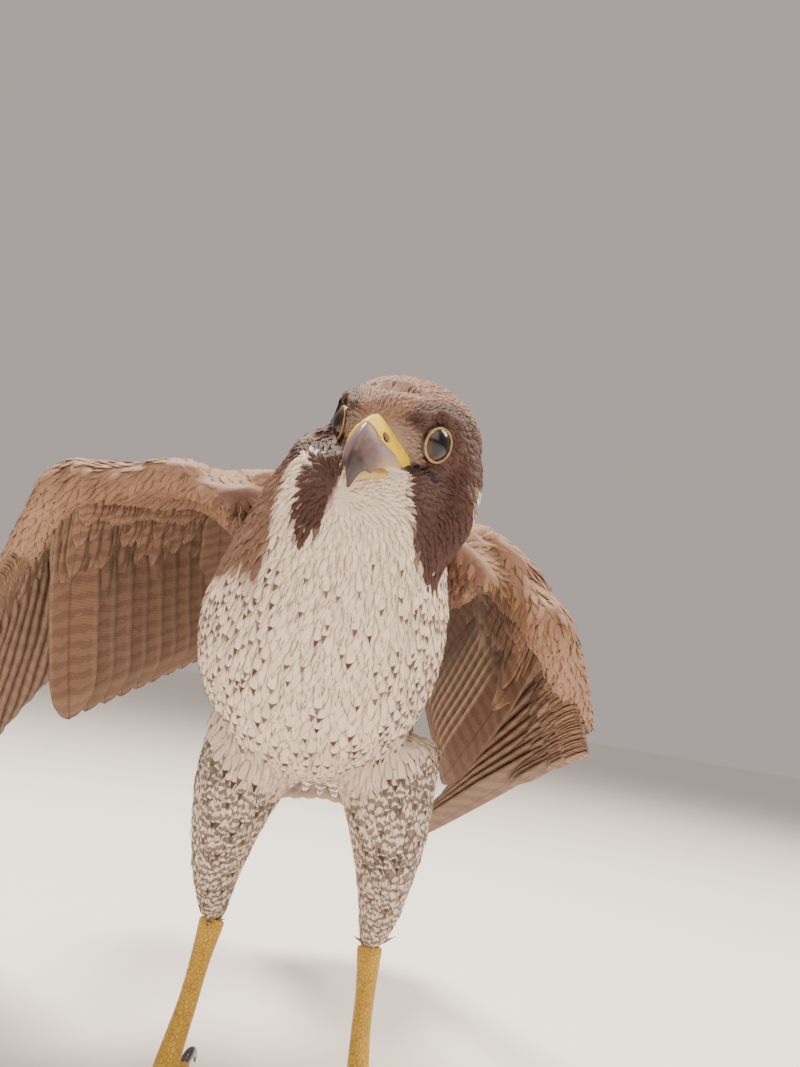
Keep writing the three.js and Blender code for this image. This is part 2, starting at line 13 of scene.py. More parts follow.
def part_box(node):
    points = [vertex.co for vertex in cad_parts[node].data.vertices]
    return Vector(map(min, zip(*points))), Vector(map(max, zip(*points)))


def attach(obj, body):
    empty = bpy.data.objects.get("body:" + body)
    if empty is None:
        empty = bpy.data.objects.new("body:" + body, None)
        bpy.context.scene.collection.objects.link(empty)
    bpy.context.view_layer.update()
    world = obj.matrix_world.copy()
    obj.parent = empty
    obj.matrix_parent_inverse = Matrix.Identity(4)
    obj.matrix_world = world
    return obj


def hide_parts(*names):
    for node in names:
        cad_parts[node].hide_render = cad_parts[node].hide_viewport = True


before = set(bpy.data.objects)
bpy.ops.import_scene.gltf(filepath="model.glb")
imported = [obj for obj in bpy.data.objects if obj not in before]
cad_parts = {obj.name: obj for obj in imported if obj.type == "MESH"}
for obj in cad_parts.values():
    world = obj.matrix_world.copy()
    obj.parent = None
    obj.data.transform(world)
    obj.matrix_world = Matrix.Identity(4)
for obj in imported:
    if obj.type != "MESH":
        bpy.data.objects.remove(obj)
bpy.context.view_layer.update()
rng = np.random.default_rng(7)
print("nodes:", len(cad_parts))

# %% [markdown]
# ## The bird's own measure
# The solids were drawn in millimetres from the bird's own origin, and then moved so that the whole bird
# stands in the middle of the floor. The eyeball is the same on both sides of its middle, so the middle of
# its box tells how far everything moved. All sizes below are the bird's own millimetres.

# %% Sizes, turns and the move to metres
HEAD_CENTRE = np.array([8.5, -94.8, 261.6])
EYE_CENTRE = np.array([13.2, -1.4, 0.4])
EYE_LOOK = np.array([0.84, -0.54, 0.05])
EYE_RADIUS = 8.2


def unit(v):
    """Each vector divided by its own length."""
    v = np.asarray(v, float)
    return v / np.maximum(np.linalg.norm(v, axis=-1, keepdims=True), 1e-9)


def about(axis, degrees):
    """The turn about an axis: cosines on the diagonal, and plus and minus the sine across it."""
    i, j = {"x": (1, 2), "y": (2, 0), "z": (0, 1)}[axis]
    turn = np.eye(3)
    turn[i, i] = turn[j, j] = np.cos(np.radians(degrees))
    turn[j, i] = np.sin(np.radians(degrees))
    turn[i, j] = -turn[j, i]
    return turn


HEAD_TURN = about("z", -18) @ about("x", 22.8) @ about("y", 8.6)


def from_head(points):
    """Points of the head's own frame, turned as the head is and moved to its place."""
    return np.asarray(points, float) @ HEAD_TURN.T + HEAD_CENTRE


def to_head(points):
    """The way back: the place is taken off, and the turn undone."""
    return (np.asarray(points, float) - HEAD_CENTRE) @ HEAD_TURN


def mirrored(points, side):
    """The same points on the other side of the bird where side is -1."""
    return np.asarray(points, float) * [side, 1, 1]


eye_box = np.array(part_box("eye_left"))
SHIFT = eye_box.mean(0) * 1000 - from_head(EYE_CENTRE)


def place(points):
    """Bird millimetres to metres on the floor."""
    return (np.asarray(points, float) + SHIFT) / 1000


def smooth(low, high, x):
    """0 at low, 1 at high, and between them 3t squared less 2t cubed."""
    t = np.clip((np.asarray(x, float) - low) / (high - low), 0, 1)
    return t * t * (3 - 2 * t)


print("move in millimetres:", SHIFT.round(2))

# %% [markdown]
# ## A tube along a smooth line
# Nearly every part of an animal starts as a tube whose thickness changes on its way. A spline carries a
# few measured stations over to many, and an ellipse is set square to the line at each of them.

# %% Splines, tubes and meshes
def spline(stations, count):
    """Cubic spans through the stations, each with the slope between its neighbours."""
    p = np.asarray(stations, float)
    slope = np.gradient(p, axis=0)
    t = np.linspace(0, len(p) - 1, count)
    i = np.minimum(t.astype(int), len(p) - 2)
    f = (t - i)[:, None]
    near = (2 * f**3 - 3 * f**2 + 1) * p[i] + (f**3 - 2 * f**2 + f) * slope[i]
    return near + (3 * f**2 - 2 * f**3) * p[i + 1] + (f**3 - f**2) * slope[i + 1]


def tube_faces(rings, around):
    """Quads between neighbouring rings, and a fan of triangles to a pole point at each end."""
    grid = 1 + np.arange(rings * around).reshape(rings, around)
    turned = np.roll(grid, -1, 1)
    sides = np.stack([grid[:-1], turned[:-1], turned[1:], grid[1:]], -1).reshape(-1, 4)
    first = np.stack([np.zeros(around, int), turned[0], grid[0]], -1)
    last = np.stack([np.full(around, rings * around + 1), grid[-1], turned[-1]], -1)
    return sides, np.concatenate([first, last])


def tube(middles, radii, up, around=24, steps=40, tips=0.45):
    """Ellipses, radii[:, 0] across and radii[:, 1] up, square to the spline through the middles."""
    line = spline(middles, steps)
    size = spline(np.broadcast_to(np.asarray(radii, float).T, (2, len(middles))).T, steps)
    along = unit(np.gradient(line, axis=0))
    across = unit(np.cross(along, up))
    high = np.cross(across, along)
    a = np.linspace(0, 2 * np.pi, around, endpoint=False)[None, :, None]
    rings = line[:, None] + size[:, None, :1] * np.cos(a) * across[:, None]
    rings = rings + size[:, None, 1:] * np.sin(a) * high[:, None]
    ends = [line[0] - along[0] * tips * size[0].min(), line[-1] + along[-1] * tips * size[-1].min()]
    points = np.concatenate([ends[:1], rings.reshape(-1, 3), ends[1:]])
    return points, tube_faces(steps, around)


def mesh_of(name, points, faces):
    """A smooth-shaded mesh object from points in bird millimetres and arrays of quads and triangles."""
    mesh = bpy.data.meshes.new(name)
    rows = [face for group in faces for face in group.tolist()]
    mesh.from_pydata(place(points).tolist(), [], rows, shade_flat=False)
    piece = bpy.data.objects.new(name, mesh)
    bpy.context.scene.collection.objects.link(piece)
    return piece


def faces_out(piece):
    """Every face of the piece turned to look outwards."""
    bpy.context.view_layer.objects.active = piece
    bpy.ops.object.mode_set(mode="EDIT")
    bpy.ops.mesh.select_all(action="SELECT")
    bpy.ops.mesh.normals_make_consistent(inside=False)
    bpy.ops.object.mode_set(mode="OBJECT")


def one_surface(name, forms, voxel, rounds):
    """Forms that run into one another, melted into one closed surface on a grid of small cubes."""
    points, quads, fans, start = [], [], [], 0
    for form, (sides, ends) in forms:
        points.append(form)
        quads.append(sides + start)
        fans.append(ends + start)
        start += len(form)
    piece = mesh_of(name, np.concatenate(points), [np.concatenate(quads), np.concatenate(fans)])
    faces_out(piece)
    melt = piece.modifiers.new("melt", "REMESH")
    melt.mode = "VOXEL"
    melt.voxel_size = voxel / 1000
    melt.use_smooth_shade = True
    soften = piece.modifiers.new("soften", "SMOOTH")
    soften.iterations = rounds
    soften.factor = 0.5
    done = bpy.data.meshes.new_from_object(piece.evaluated_get(bpy.context.evaluated_depsgraph_get()))
    piece.modifiers.clear()
    piece.data = done
    return piece


def corners_of(piece):
    """A piece's points in bird millimetres, and their normals."""
    count = len(piece.data.vertices)
    points, normals = np.empty(count * 3), np.empty(count * 3)
    piece.data.vertices.foreach_get("co", points)
    piece.data.vertex_normals.foreach_get("vector", normals)
    return points.reshape(-1, 3) * 1000 - SHIFT, normals.reshape(-1, 3)


def finish(piece, material, slot, *nodes):
    """The piece gets its material, rides on the bird, and stands for the solids it covers."""
    piece.data.materials.clear()
    piece.data.materials.append(material)
    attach(piece, "root")
    if nodes:
        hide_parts(*nodes)
    print(piece.name, sum(len(f.vertices) - 2 for f in piece.data.polygons), "triangles")
    return piece


# %% [markdown]
# ## Shader sums
# A feather's pattern is a sum of masks: bars, spots, a shaft, a pale rim. Written node by node that is
# long, so one small class wraps a socket and lets the masks be written as sums.

# %% A socket that can be added and multiplied
class Value:
    """A socket of a material's node tree, used in plain sums."""

    def __init__(self, tree, out=None):
        self.tree, self.out = tree, out

    def node(self, kind, settings=(), inputs=(), output=0):
        """Adds a node of that kind, with settings first and then inputs, and gives one output."""
        made = self.tree.nodes.new(kind)
        for key, value in dict(settings).items():
            setattr(made, key, value)
        for key, value in dict(inputs).items():
            if isinstance(value, Value):
                self.tree.links.new(value.out, made.inputs[key])
            else:
                made.inputs[key].default_value = value
        return Value(self.tree, made.outputs[output])

    def sum(self, operation, *others, clamp=False):
        """One Math node on this value and the others."""
        settings = {"operation": operation, "use_clamp": clamp}
        return self.node("ShaderNodeMath", settings, dict(enumerate((self, *others))))

    def __add__(self, other):
        return self.sum("ADD", other)

    def __mul__(self, other):
        return self.sum("MULTIPLY", other)

    def __sub__(self, other):
        return self.sum("SUBTRACT", other)

    def __rsub__(self, other):
        return self.sum("MULTIPLY", -1.0).sum("ADD", other)

    def __truediv__(self, other):
        return self.sum("DIVIDE", other)

    __radd__ = __add__
    __rmul__ = __mul__

    def step(self, low, high):
        """0 below low and 1 above high, smooth between; the other way round where low is the larger."""
        ends = {"From Min": low, "From Max": high}
        return self.node("ShaderNodeMapRange", {"interpolation_type": "SMOOTHSTEP"}, {"Value": self, **ends})

    def also(self, which):
        """Another output of the node that this value comes from."""
        return Value(self.tree, self.out.node.outputs[which])

    def mix(self, first, second):
        """First colour where this value is 0, second where it is 1."""
        return self.node("ShaderNodeMix", {"data_type": "RGBA"}, {0: self, 6: first, 7: second}, output=2)

    def shaded(self, shade):
        """This colour multiplied by another."""
        settings = {"data_type": "RGBA", "blend_type": "MULTIPLY"}
        return self.node("ShaderNodeMix", settings, {0: 1.0, 6: self, 7: shade}, output=2)

    def noise(self, scale, detail=2.0):
        """A soft random value on these coordinates."""
        return self.node("ShaderNodeTexNoise", {}, {"Vector": self, "Scale": scale, "Detail": detail})

    def bump(self, strength, height):
        """A normal that rises with this value, by height metres."""
        return self.node("ShaderNodeBump", {}, {"Height": self, "Strength": strength, "Distance": height})


def linear(red, green, blue):
    """A paint colour of 0 to 255 as light: the share to the power 2.2."""
    return (*((np.array([red, green, blue]) / 255) ** 2.2).tolist(), 1.0)


def new_material(name, **sockets):
    """A material with fixed values on its shader, the start of its sums, and a way to link into it."""
    material = bpy.data.materials.new(name)
    material.use_nodes = True
    tree = material.node_tree
    shader = tree.nodes["Principled BSDF"]
    for key, value in sockets.items():
        shader.inputs[key.replace("_", " ")].default_value = value
    return material, Value(tree), lambda key, value: tree.links.new(value.out, shader.inputs[key])


print("a value can:", ", ".join(name for name in vars(Value) if not name.startswith("_")))

# %% [markdown]
# ## The skin under the feathers
# The skin is what the feathers grow from, so it lies up to three millimetres inside the solids, by the
# depth of the coat. Body, head, thighs and the flesh of both wings are tubes that overlap, melted into one
# surface, so the shoulders and the neck have no seam.

# %% Body, neck, head and thighs
COAT = 3.0
HEAD_COAT = 0.9
THIGH_COAT = 2.4
TRUNK = np.array([
    [0, 103, 151, 15, 9], [0, 88, 157, 26, 18], [0, 66, 164, 37, 31], [-3, 36, 171, 43, 43],
    [-6, 4, 179, 48, 48], [-7, -28, 191, 52, 49], [-4, -53, 208, 48, 43], [-1, -68, 226, 41, 38],
    [3, -77, 243, 36, 36], [6, -80, 258, 30, 31], [7, -80, 268, 18, 20],
], float)
SKULL = np.array([
    [0, -21.5, -2, 9, 10], [0, -15, -1.5, 13.4, 15], [0, -6, -1.2, 20, 20], [0, 4, -1.2, 25.5, 22],
    [0, 16, -1.6, 28.5, 23], [0, 28, -4.5, 27, 21.8], [0, 38, -9, 20, 16.5], [0, 44, -12, 11, 9],
])
BROW = np.array([[9, -16, 6.5], [15.4, -9, 9], [20.4, 1, 9], [23.5, 11, 5.5]])
CHEEK = np.array([[22, 14, 0], [23.5, 13, -12], [22.5, 8, -26], [19, 2, -42]], float)
THIGH = np.array([[27, 8, 152], [34, 8, 122], [37, 19, 90], [36, 28, 68]], float)
THIGH_SIZE = np.array([[27, 27], [20, 24], [13, 15.5], [8, 8]], float)


def head_tube(middles, radii, **more):
    """A tube in the head's own frame, turned and moved with the head."""
    points, faces = tube(middles, radii, (0, 0, 1), **more)
    return from_head(points), faces


body_forms = [tube(TRUNK[:, :3], TRUNK[:, 3:] - COAT, (0, 0.6, 0.8), around=48, steps=60)]
head_forms = [head_tube(SKULL[:, :3], SKULL[:, 3:] - HEAD_COAT, around=40)]
for side in (1, -1):
    head_forms.append(head_tube(mirrored(BROW, side), [1.4, 2.2, 2.4, 1.4], around=12))
    head_forms.append(head_tube(mirrored(CHEEK, side), [6.2, 8.6, 10, 7.8], around=24))
thigh_forms = [tube(mirrored(THIGH, side), THIGH_SIZE - THIGH_COAT, (0, 1, 0)) for side in (1, -1)]
print("forms:", len(body_forms + head_forms + thigh_forms))

# %% [markdown]
# ## The wings' bones and the lines of their feathers
# A bird's wing is an arm: upper arm, forearm and hand, with a web of skin in front of the elbow. The
# primaries grow from the hand, the secondaries from the forearm and the tertials from the elbow. The
# feathers of a row lie in one plane like shingles, each a little over or under the next.

# %% Wing joints and rows
WINGS = {
    "right": dict(
        side=-1, shoulder=[-38, -30, 241], elbow=[-78, 28, 258], wrist=[-120, -42, 236], web_rise=12,
        hand=[-0.5, 0.7, -0.51], inner_primary=[-0.25, 0.75, -0.61], outer_primary=[-0.46, 0.73, -0.51],
        outer_secondary=[-0.2, 0.68, -0.71], inner_secondary=[0.04, 0.7, -0.71], tertial=[0.1, 0.86, -0.5],
    ),
    "left": dict(
        side=1, shoulder=[38, -32, 232], elbow=[64, 30, 246], wrist=[83, -42, 211], web_rise=18,
        hand=[0.42, 0.82, -0.38], inner_primary=[0.04, 0.9, -0.43], outer_primary=[-0.28, 0.93, -0.24],
        outer_secondary=[0.02, 0.82, -0.57], inner_secondary=[-0.22, 0.74, -0.64],
        tertial=[-0.22, 0.84, -0.5],
    ),
}
WINGS = {
    name: {key: np.array(value, float) if isinstance(value, list) else value for key, value in wing.items()}
    for name, wing in WINGS.items()
}
HAND_LENGTH = 88
PRIMARY_LENGTHS = [138, 146, 155, 166, 180, 197, 215, 231, 240, 226]
SECONDARY_LENGTH = (112, 128)
TERTIAL_LENGTH = (78, 104)
SECONDARIES = 10
TERTIALS = 3


def blend(a, b, t):
    """The way from a to b by the share t."""
    t = np.asarray(t, float)[..., None]
    return np.asarray(a) * (1 - t) + np.asarray(b) * t


def between(pair, t):
    """From the first number of a pair to the second by the share t."""
    return pair[0] + (pair[1] - pair[0]) * t


def row(wing, kind, roots, dirs, lengths, up, step):
    """Feathers from the innermost outwards, put in one plane, and each lifted by step over the next."""
    count = len(roots)
    order = np.linspace(0.5, -0.5, count) * (count - 1) * step
    middle = (roots[(count - 1) // 2] + roots[count // 2]) / 2
    level = roots + np.outer(order - (roots - middle) @ up, up)
    flat = unit(dirs - np.outer(dirs @ up, up))
    return dict(kind=kind, side=wing["side"], root=level, along=flat, length=np.array(lengths, float), up=up)


def face_over(line, direction):
    """The upward normal of the plane that holds both lines."""
    normal = unit(np.cross(line, direction))
    return normal * np.sign(normal[2])


def wing_rows(wing):
    """The three rows of big feathers, with the directions turned evenly from one end to the other."""
    arm, hand = unit(wing["wrist"] - wing["elbow"]), unit(wing["hand"])
    arm_face = face_over(arm, unit(blend(wing["outer_secondary"], wing["inner_secondary"], 0.5)))
    hand_face = face_over(hand, wing["inner_primary"])
    body_face = unit(blend([-0.1 * wing["side"], 0.45, 0.88], arm_face, 0.6))
    t = np.linspace(0, 1, TERTIALS)
    start = blend(wing["shoulder"], wing["elbow"], 0.64)
    dirs = unit(blend(wing["tertial"], wing["inner_secondary"], t * 0.9))
    roots = blend(start, wing["elbow"], t)
    tertials = row(wing, "tertial", roots, dirs, between(TERTIAL_LENGTH, t), body_face, 1.5)
    t = np.linspace(0, 1, SECONDARIES)
    dirs = unit(blend(wing["inner_secondary"], wing["outer_secondary"], t))
    roots = blend(wing["elbow"], wing["wrist"], 0.05 + 0.9 * t)
    secondaries = row(wing, "secondary", roots, dirs, between(SECONDARY_LENGTH, t), arm_face, 0.1)
    t = np.linspace(0, 1, len(PRIMARY_LENGTHS))
    dirs = unit(blend(wing["inner_primary"], wing["outer_primary"], t))
    roots = wing["wrist"] + np.outer(HAND_LENGTH * (0.08 + 0.9 * t), hand)
    primaries = row(wing, "primary", roots, dirs, PRIMARY_LENGTHS, hand_face, 1.6)
    return tertials, secondaries, primaries


rows = {name: wing_rows(wing) for name, wing in WINGS.items()}
print("big feathers to a wing:", sum(len(r["root"]) for r in rows["left"]))

# %% [markdown]
# ## The flesh of the wings
# Under the feathers a wing has little flesh: thin arm bones with muscle near the shoulder, and the web in
# front of them. Four tubes give that. The web is a flat one, halfway between the bones and its own front
# edge, so it is as wide as the gap that it closes.

# %% Flesh of the wings
WEB_MARGIN = 5
WEB_HALF_THICKNESS = 7.0


def arm_forms(wing):
    """Upper arm, forearm, hand, and the web that bows up between the shoulder and the wrist."""
    shoulder, elbow, wrist = wing["shoulder"], wing["elbow"], wing["wrist"]
    front = shoulder + 9 * np.array([wing["side"], -2, 0])
    t = np.array([0, 0.25, 0.5, 0.78, 1])
    lead = blend(front, wrist, t) + wing["web_rise"] * np.sin(np.pi * t)[:, None] * [0, 0.7, 1]
    bone = np.where(t[:, None] < 0.5, blend(shoulder, elbow, 2 * t), blend(elbow, wrist, 2 * t - 1))
    wide = np.abs((bone - lead) @ unit(np.cross([0, 0, 1], wrist - front))) / 2 + WEB_MARGIN
    web_up = unit(np.cross(wrist - front, (bone - lead)[2]))
    hand = [wrist + unit(wing["hand"]) * HAND_LENGTH * share for share in (0, 0.45, 1)]
    return [
        tube([shoulder, blend(shoulder, elbow, 0.5), elbow], [18, 14, 10.5], (0, 0, 1)),
        tube([elbow, blend(elbow, wrist, 0.5), wrist], [10, 10.5, 9.5], (0, 0, 1)),
        tube((lead + bone) / 2, np.stack([wide, np.full(len(t), WEB_HALF_THICKNESS)], 1), web_up),
        tube(hand, [[9.5, 8.5], [8.5, 8.5], [5, 6]], (0, 0, 1)),
    ]


wing_forms = [form for wing in WINGS.values() for form in arm_forms(wing)]
skin = one_surface("skin", body_forms + head_forms + thigh_forms + wing_forms, voxel=2.0, rounds=6)
print("skin points:", len(skin.data.vertices))

# %% [markdown]
# ## Eye sockets and the base of the bill
# A falcon's eye sits in a bowl under the brow. The skin near each eye is pushed in along the eye's look
# until it lies behind the front of the eyeball, and eases out to the cheek over a few millimetres. In
# front of the eyes the face narrows to the bill, high and thin above, wide at the corners of the mouth.

# %% Push the sockets in and narrow the face
SOCKET_DEPTH = 4.6
BILL_HALF_WIDTH = 10.4
BILL_UNDERSIDE = -8
BILL_HEIGHT = 15.4
BILL_INSET = 0.7


def beside_eye(points, side):
    """How far each point lies along the eye's look from the eye's middle, and how far off that line."""
    look = unit(mirrored(EYE_LOOK, side))
    q = to_head(points) - mirrored(EYE_CENTRE, side)
    ahead = q @ look
    return ahead, np.linalg.norm(q - ahead[:, None] * look, axis=1)


def face_edge(high):
    """How far forward the face feathers reach at a height: furthest on the ridge of the bill."""
    return np.interp(high, [-9, -7.5, -3.8, 1.3, 7], [-11, -11.4, -13, -17.3, -20.5])


points, _ = corners_of(skin)
h = to_head(points)

# The widest the face may be at a height is the bill's own section, less a small inset. Behind the edge of
# the face feathers and under the bill the limit opens again.
up_the_bill = np.clip((h[:, 2] - BILL_UNDERSIDE) / BILL_HEIGHT, 0, 1)
tent = BILL_HALF_WIDTH * (1 - up_the_bill**1.6) ** 0.7 - BILL_INSET
side_limit = tent + 16 * smooth(-1, 11, h[:, 1] - face_edge(h[:, 2])) + 20 * smooth(-7.5, -11, h[:, 2])
top_limit = 6.3 + 9 * smooth(-21, -11, h[:, 1])
near_bill = (np.abs(h[:, 0]) < 26) & (h[:, 1] < -3) & (h[:, 1] > -30) & (h[:, 2] > -11)
h[:, 0] = np.where(near_bill, h[:, 0].clip(-side_limit, side_limit), h[:, 0])
h[:, 2] = np.where(near_bill, np.minimum(h[:, 2], top_limit), h[:, 2])
points = from_head(h)
for side in (1, -1):
    ahead, off = beside_eye(points, side)
    inward = np.where(ahead > 0, np.maximum(ahead - SOCKET_DEPTH, 0) * (1 - smooth(6.0, 12.0, off)), 0)
    points -= inward[:, None] * (unit(mirrored(EYE_LOOK, side)) @ HEAD_TURN.T)
skin.data.vertices.foreach_set("co", place(points).ravel())
skin.data.update()
print("skin pushed in near the bill:", near_bill.sum(), "points")

# %% [markdown]
# ## A map of the skin
# Each feather stores the place of its root on a flat unwrap of the skin, so that what is painted on the
# skin can be found again on the feather. Blender cuts and flattens the skin by the angles of its faces. The
# skin's points also go into a search tree, which finds the nearest of them to any place.

# %% Unwrap the skin and read it back
bpy.context.view_layer.objects.active = skin
skin.select_set(True)
bpy.ops.object.mode_set(mode="EDIT")
bpy.ops.mesh.select_all(action="SELECT")
bpy.ops.uv.smart_project(angle_limit=1.15, island_margin=0.002)
bpy.ops.object.mode_set(mode="OBJECT")
skin.data.uv_layers[0].name = "OFBake"
skin_points, skin_normals = corners_of(skin)
skin.data.calc_loop_triangles()
skin_corners = np.empty(len(skin.data.loop_triangles) * 3, int)
skin_loops = np.empty_like(skin_corners)
skin.data.loop_triangles.foreach_get("vertices", skin_corners)
skin.data.loop_triangles.foreach_get("loops", skin_loops)
skin_corners, skin_loops = skin_corners.reshape(-1, 3), skin_loops.reshape(-1, 3)
skin_uv = np.empty(len(skin.data.loops) * 2)
skin.data.uv_layers["OFBake"].data.foreach_get("uv", skin_uv)
skin_uv = skin_uv.reshape(-1, 2)
point_uv = np.zeros((len(skin_points), 2))
point_uv[skin_corners] = skin_uv[skin_loops]
skin_tree = KDTree(len(skin_points))
for i, p in enumerate(skin_points):
    skin_tree.insert(p, i)
skin_tree.balance()


def nearest_skin(points):
    """The number of the skin's nearest point to each of the points."""
    return np.array([skin_tree.find(p)[1] for p in points])


print("skin triangles:", len(skin_corners))

# %% [markdown]
# ## The way the feathers lie
# Feathers run from the bill back over the head, down the neck and breast, along the body to the tail, down
# the thighs, and from each wing's front edge back and outwards. Guides on the middle lines hold that
# direction and the distance between feathers. At any place the guides are mixed, the near ones most, and
# the mix is laid flat on the skin.

# %% Guides
BODY, HEAD, LEGS, ARMS = range(4)
TRUNK_GUIDES = 24
HEAD_GUIDES = 8
ARM_SECTIONS = [("shoulder", "elbow"), ("elbow", "wrist"), ("wrist", None)]


def guides(kind, line, direction, gap, reach):
    """Guides along a line: their kind, places, directions, spacing, and how far the flesh reaches."""
    count = len(line)
    return np.full(count, kind), line, direction, np.broadcast_to(gap, count), np.broadcast_to(reach, count)


trunk_line = spline(TRUNK[:, :3], TRUNK_GUIDES)
trunk_size = spline(TRUNK[:, 3:], TRUNK_GUIDES)
trunk_gap = np.interp(np.arange(TRUNK_GUIDES), [0, 8, 14, 18, 23], [4.6, 4.1, 3.1, 2.4, 1.8])
head_line = from_head(spline(SKULL[:, :3], HEAD_GUIDES))
head_gap = np.interp(np.arange(HEAD_GUIDES), [0, 2, 7], [0.85, 1.15, 1.7])
guide_parts = [
    guides(BODY, trunk_line, -np.gradient(trunk_line, axis=0), trunk_gap, reach=trunk_size.max(1)),
    guides(HEAD, head_line, np.gradient(head_line, axis=0), head_gap, reach=24),
]
for side in (1, -1):
    line = spline(mirrored(THIGH, side), 8)[1:]
    guide_parts.append(guides(LEGS, line, np.gradient(line, axis=0), gap=2.8, reach=20))
for name, wing in WINGS.items():
    for kind, (first, last) in zip(rows[name], ARM_SECTIONS):
        end = wing[last] if last else wing["wrist"] + unit(wing["hand"]) * HAND_LENGTH
        line = blend(wing[first], end, np.linspace(0.15, 0.9, 4))
        outward = 0.7 * unit(end - wing[first])
        heading = kind["along"][[0, -1]].repeat(2, 0) + outward
        guide_parts.append(guides(ARMS, line, heading, gap=2.7, reach=13))
joined = [np.concatenate(part) for part in zip(*guide_parts)]
guide_kind, guide_at, guide_dir, guide_gap, guide_reach = joined
guide_dir = unit(guide_dir)


def follow(points, normals):
    """Mix of the guides by one over the fourth power of their distance, less its part along the normal."""
    far = ((points[:, None] - guide_at[None]) ** 2).sum(2) + 30
    weight = 1 / far**2
    weight /= weight.sum(1, keepdims=True)
    mixed = weight @ guide_dir
    flat = mixed - (mixed * normals).sum(1, keepdims=True) * normals
    return unit(flat), weight @ guide_gap


def region_of(points):
    """The kind of the guide whose flesh comes nearest to each point."""
    far = ((points[:, None] - guide_at[None]) ** 2).sum(2)
    return guide_kind[(np.sqrt(far) - guide_reach).argmin(1)]


def body_place(points):
    """Where a point lies on the trunk: 0 at the tail to 1 at the head, how far to the back, and across."""
    far = ((points[:, None] - trunk_line[None]) ** 2).sum(2)
    nearest = far.argmin(1)
    along = unit(np.gradient(trunk_line, axis=0))[nearest]
    across = unit(np.cross(along, (0, 0.6, 0.8)))
    high = np.cross(across, along)
    q = points - trunk_line[nearest]
    back = (q * high).sum(1) / np.linalg.norm(q, axis=1)
    return nearest / (TRUNK_GUIDES - 1), back, (q * across).sum(1)


print("guides:", len(guide_at))

# %% [markdown]
# ## Markings
# The same markings are needed on the skin and on every feather, so they are one function of a place on the
# bird: a dark hood with a moustache below each eye, a cream throat, drop spots on the breast that turn to
# bars on the belly, and a brown back and wings. A near-black line at each corner of the mouth is painted
# shade in the crease where the bills close. Each feather asks for its own place once.

# %% Colours and the pattern of the bird
# Paint colours of the plumage, except the mouth tone: near black, painted shade for the crease at the corner
# of the mouth.
TONES = {
    "cream": (236, 214, 192), "mantle": (120, 88, 72), "crown": (146, 110, 90), "mask": (82, 57, 48),
    "lore": (150, 126, 112), "moustache": (80, 54, 47), "mouth": (40, 24, 20), "wing": (156, 120, 96),
}
TONES = {name: np.array(linear(*paint)[:3]) for name, paint in TONES.items()}
MASK = ([[11, -14, 6], [17, -6, 6], [22.5, 4, 3], [25, 12, -4]], [5, 9, 12, 10])
LORE = ([[7, -18, 3], [10, -14, 0], [12, -12, -4]], [3.4, 4, 3.6])
# The mouth line runs back from each corner of the bill: painted shade in the crease where the upper and
# lower bill close.
MOUTH_SHADE_LINE = ([[10, -12.5, -8], [14, -11, -8.6], [20, -7.5, -10.4]], [1.9, 1.6, 1.2])
MOUSTACHES = [
    ([[19, -7, -8], [22, -5, -16], [26, -3, -28], [28, 1, -40]], [12.5, 14.5, 12.5, 5.5]),
    ([[-13, -18, -4], [-13.5, -23.5, -12], [-14, -28, -24], [-15.5, -29.5, -31]], [5.5, 6.5, 6, 4]),
    ([[-13, -13, -4], [-19, -10, -8], [-25, -10, -11], [-31, -7, -13]], [5, 7, 7, 6.5]),
]


def near_line(points, line, sizes, soft=0.08):
    """1 well inside a line thickened by its sizes, 0 outside, by the nearest of many stations."""
    stations = spline(np.column_stack([line, sizes]), 24)
    gap = np.linalg.norm(points[:, None] - stations[None, :, :3], axis=2) / stations[None, :, 3]
    return 1 - smooth(1 - soft, 1 + soft, gap.min(1))


def both_sides(points, line, sizes, soft):
    """The same line on the left and on the right of the head."""
    return np.maximum(*(near_line(points, mirrored(line, side), sizes, soft) for side in (1, -1)))


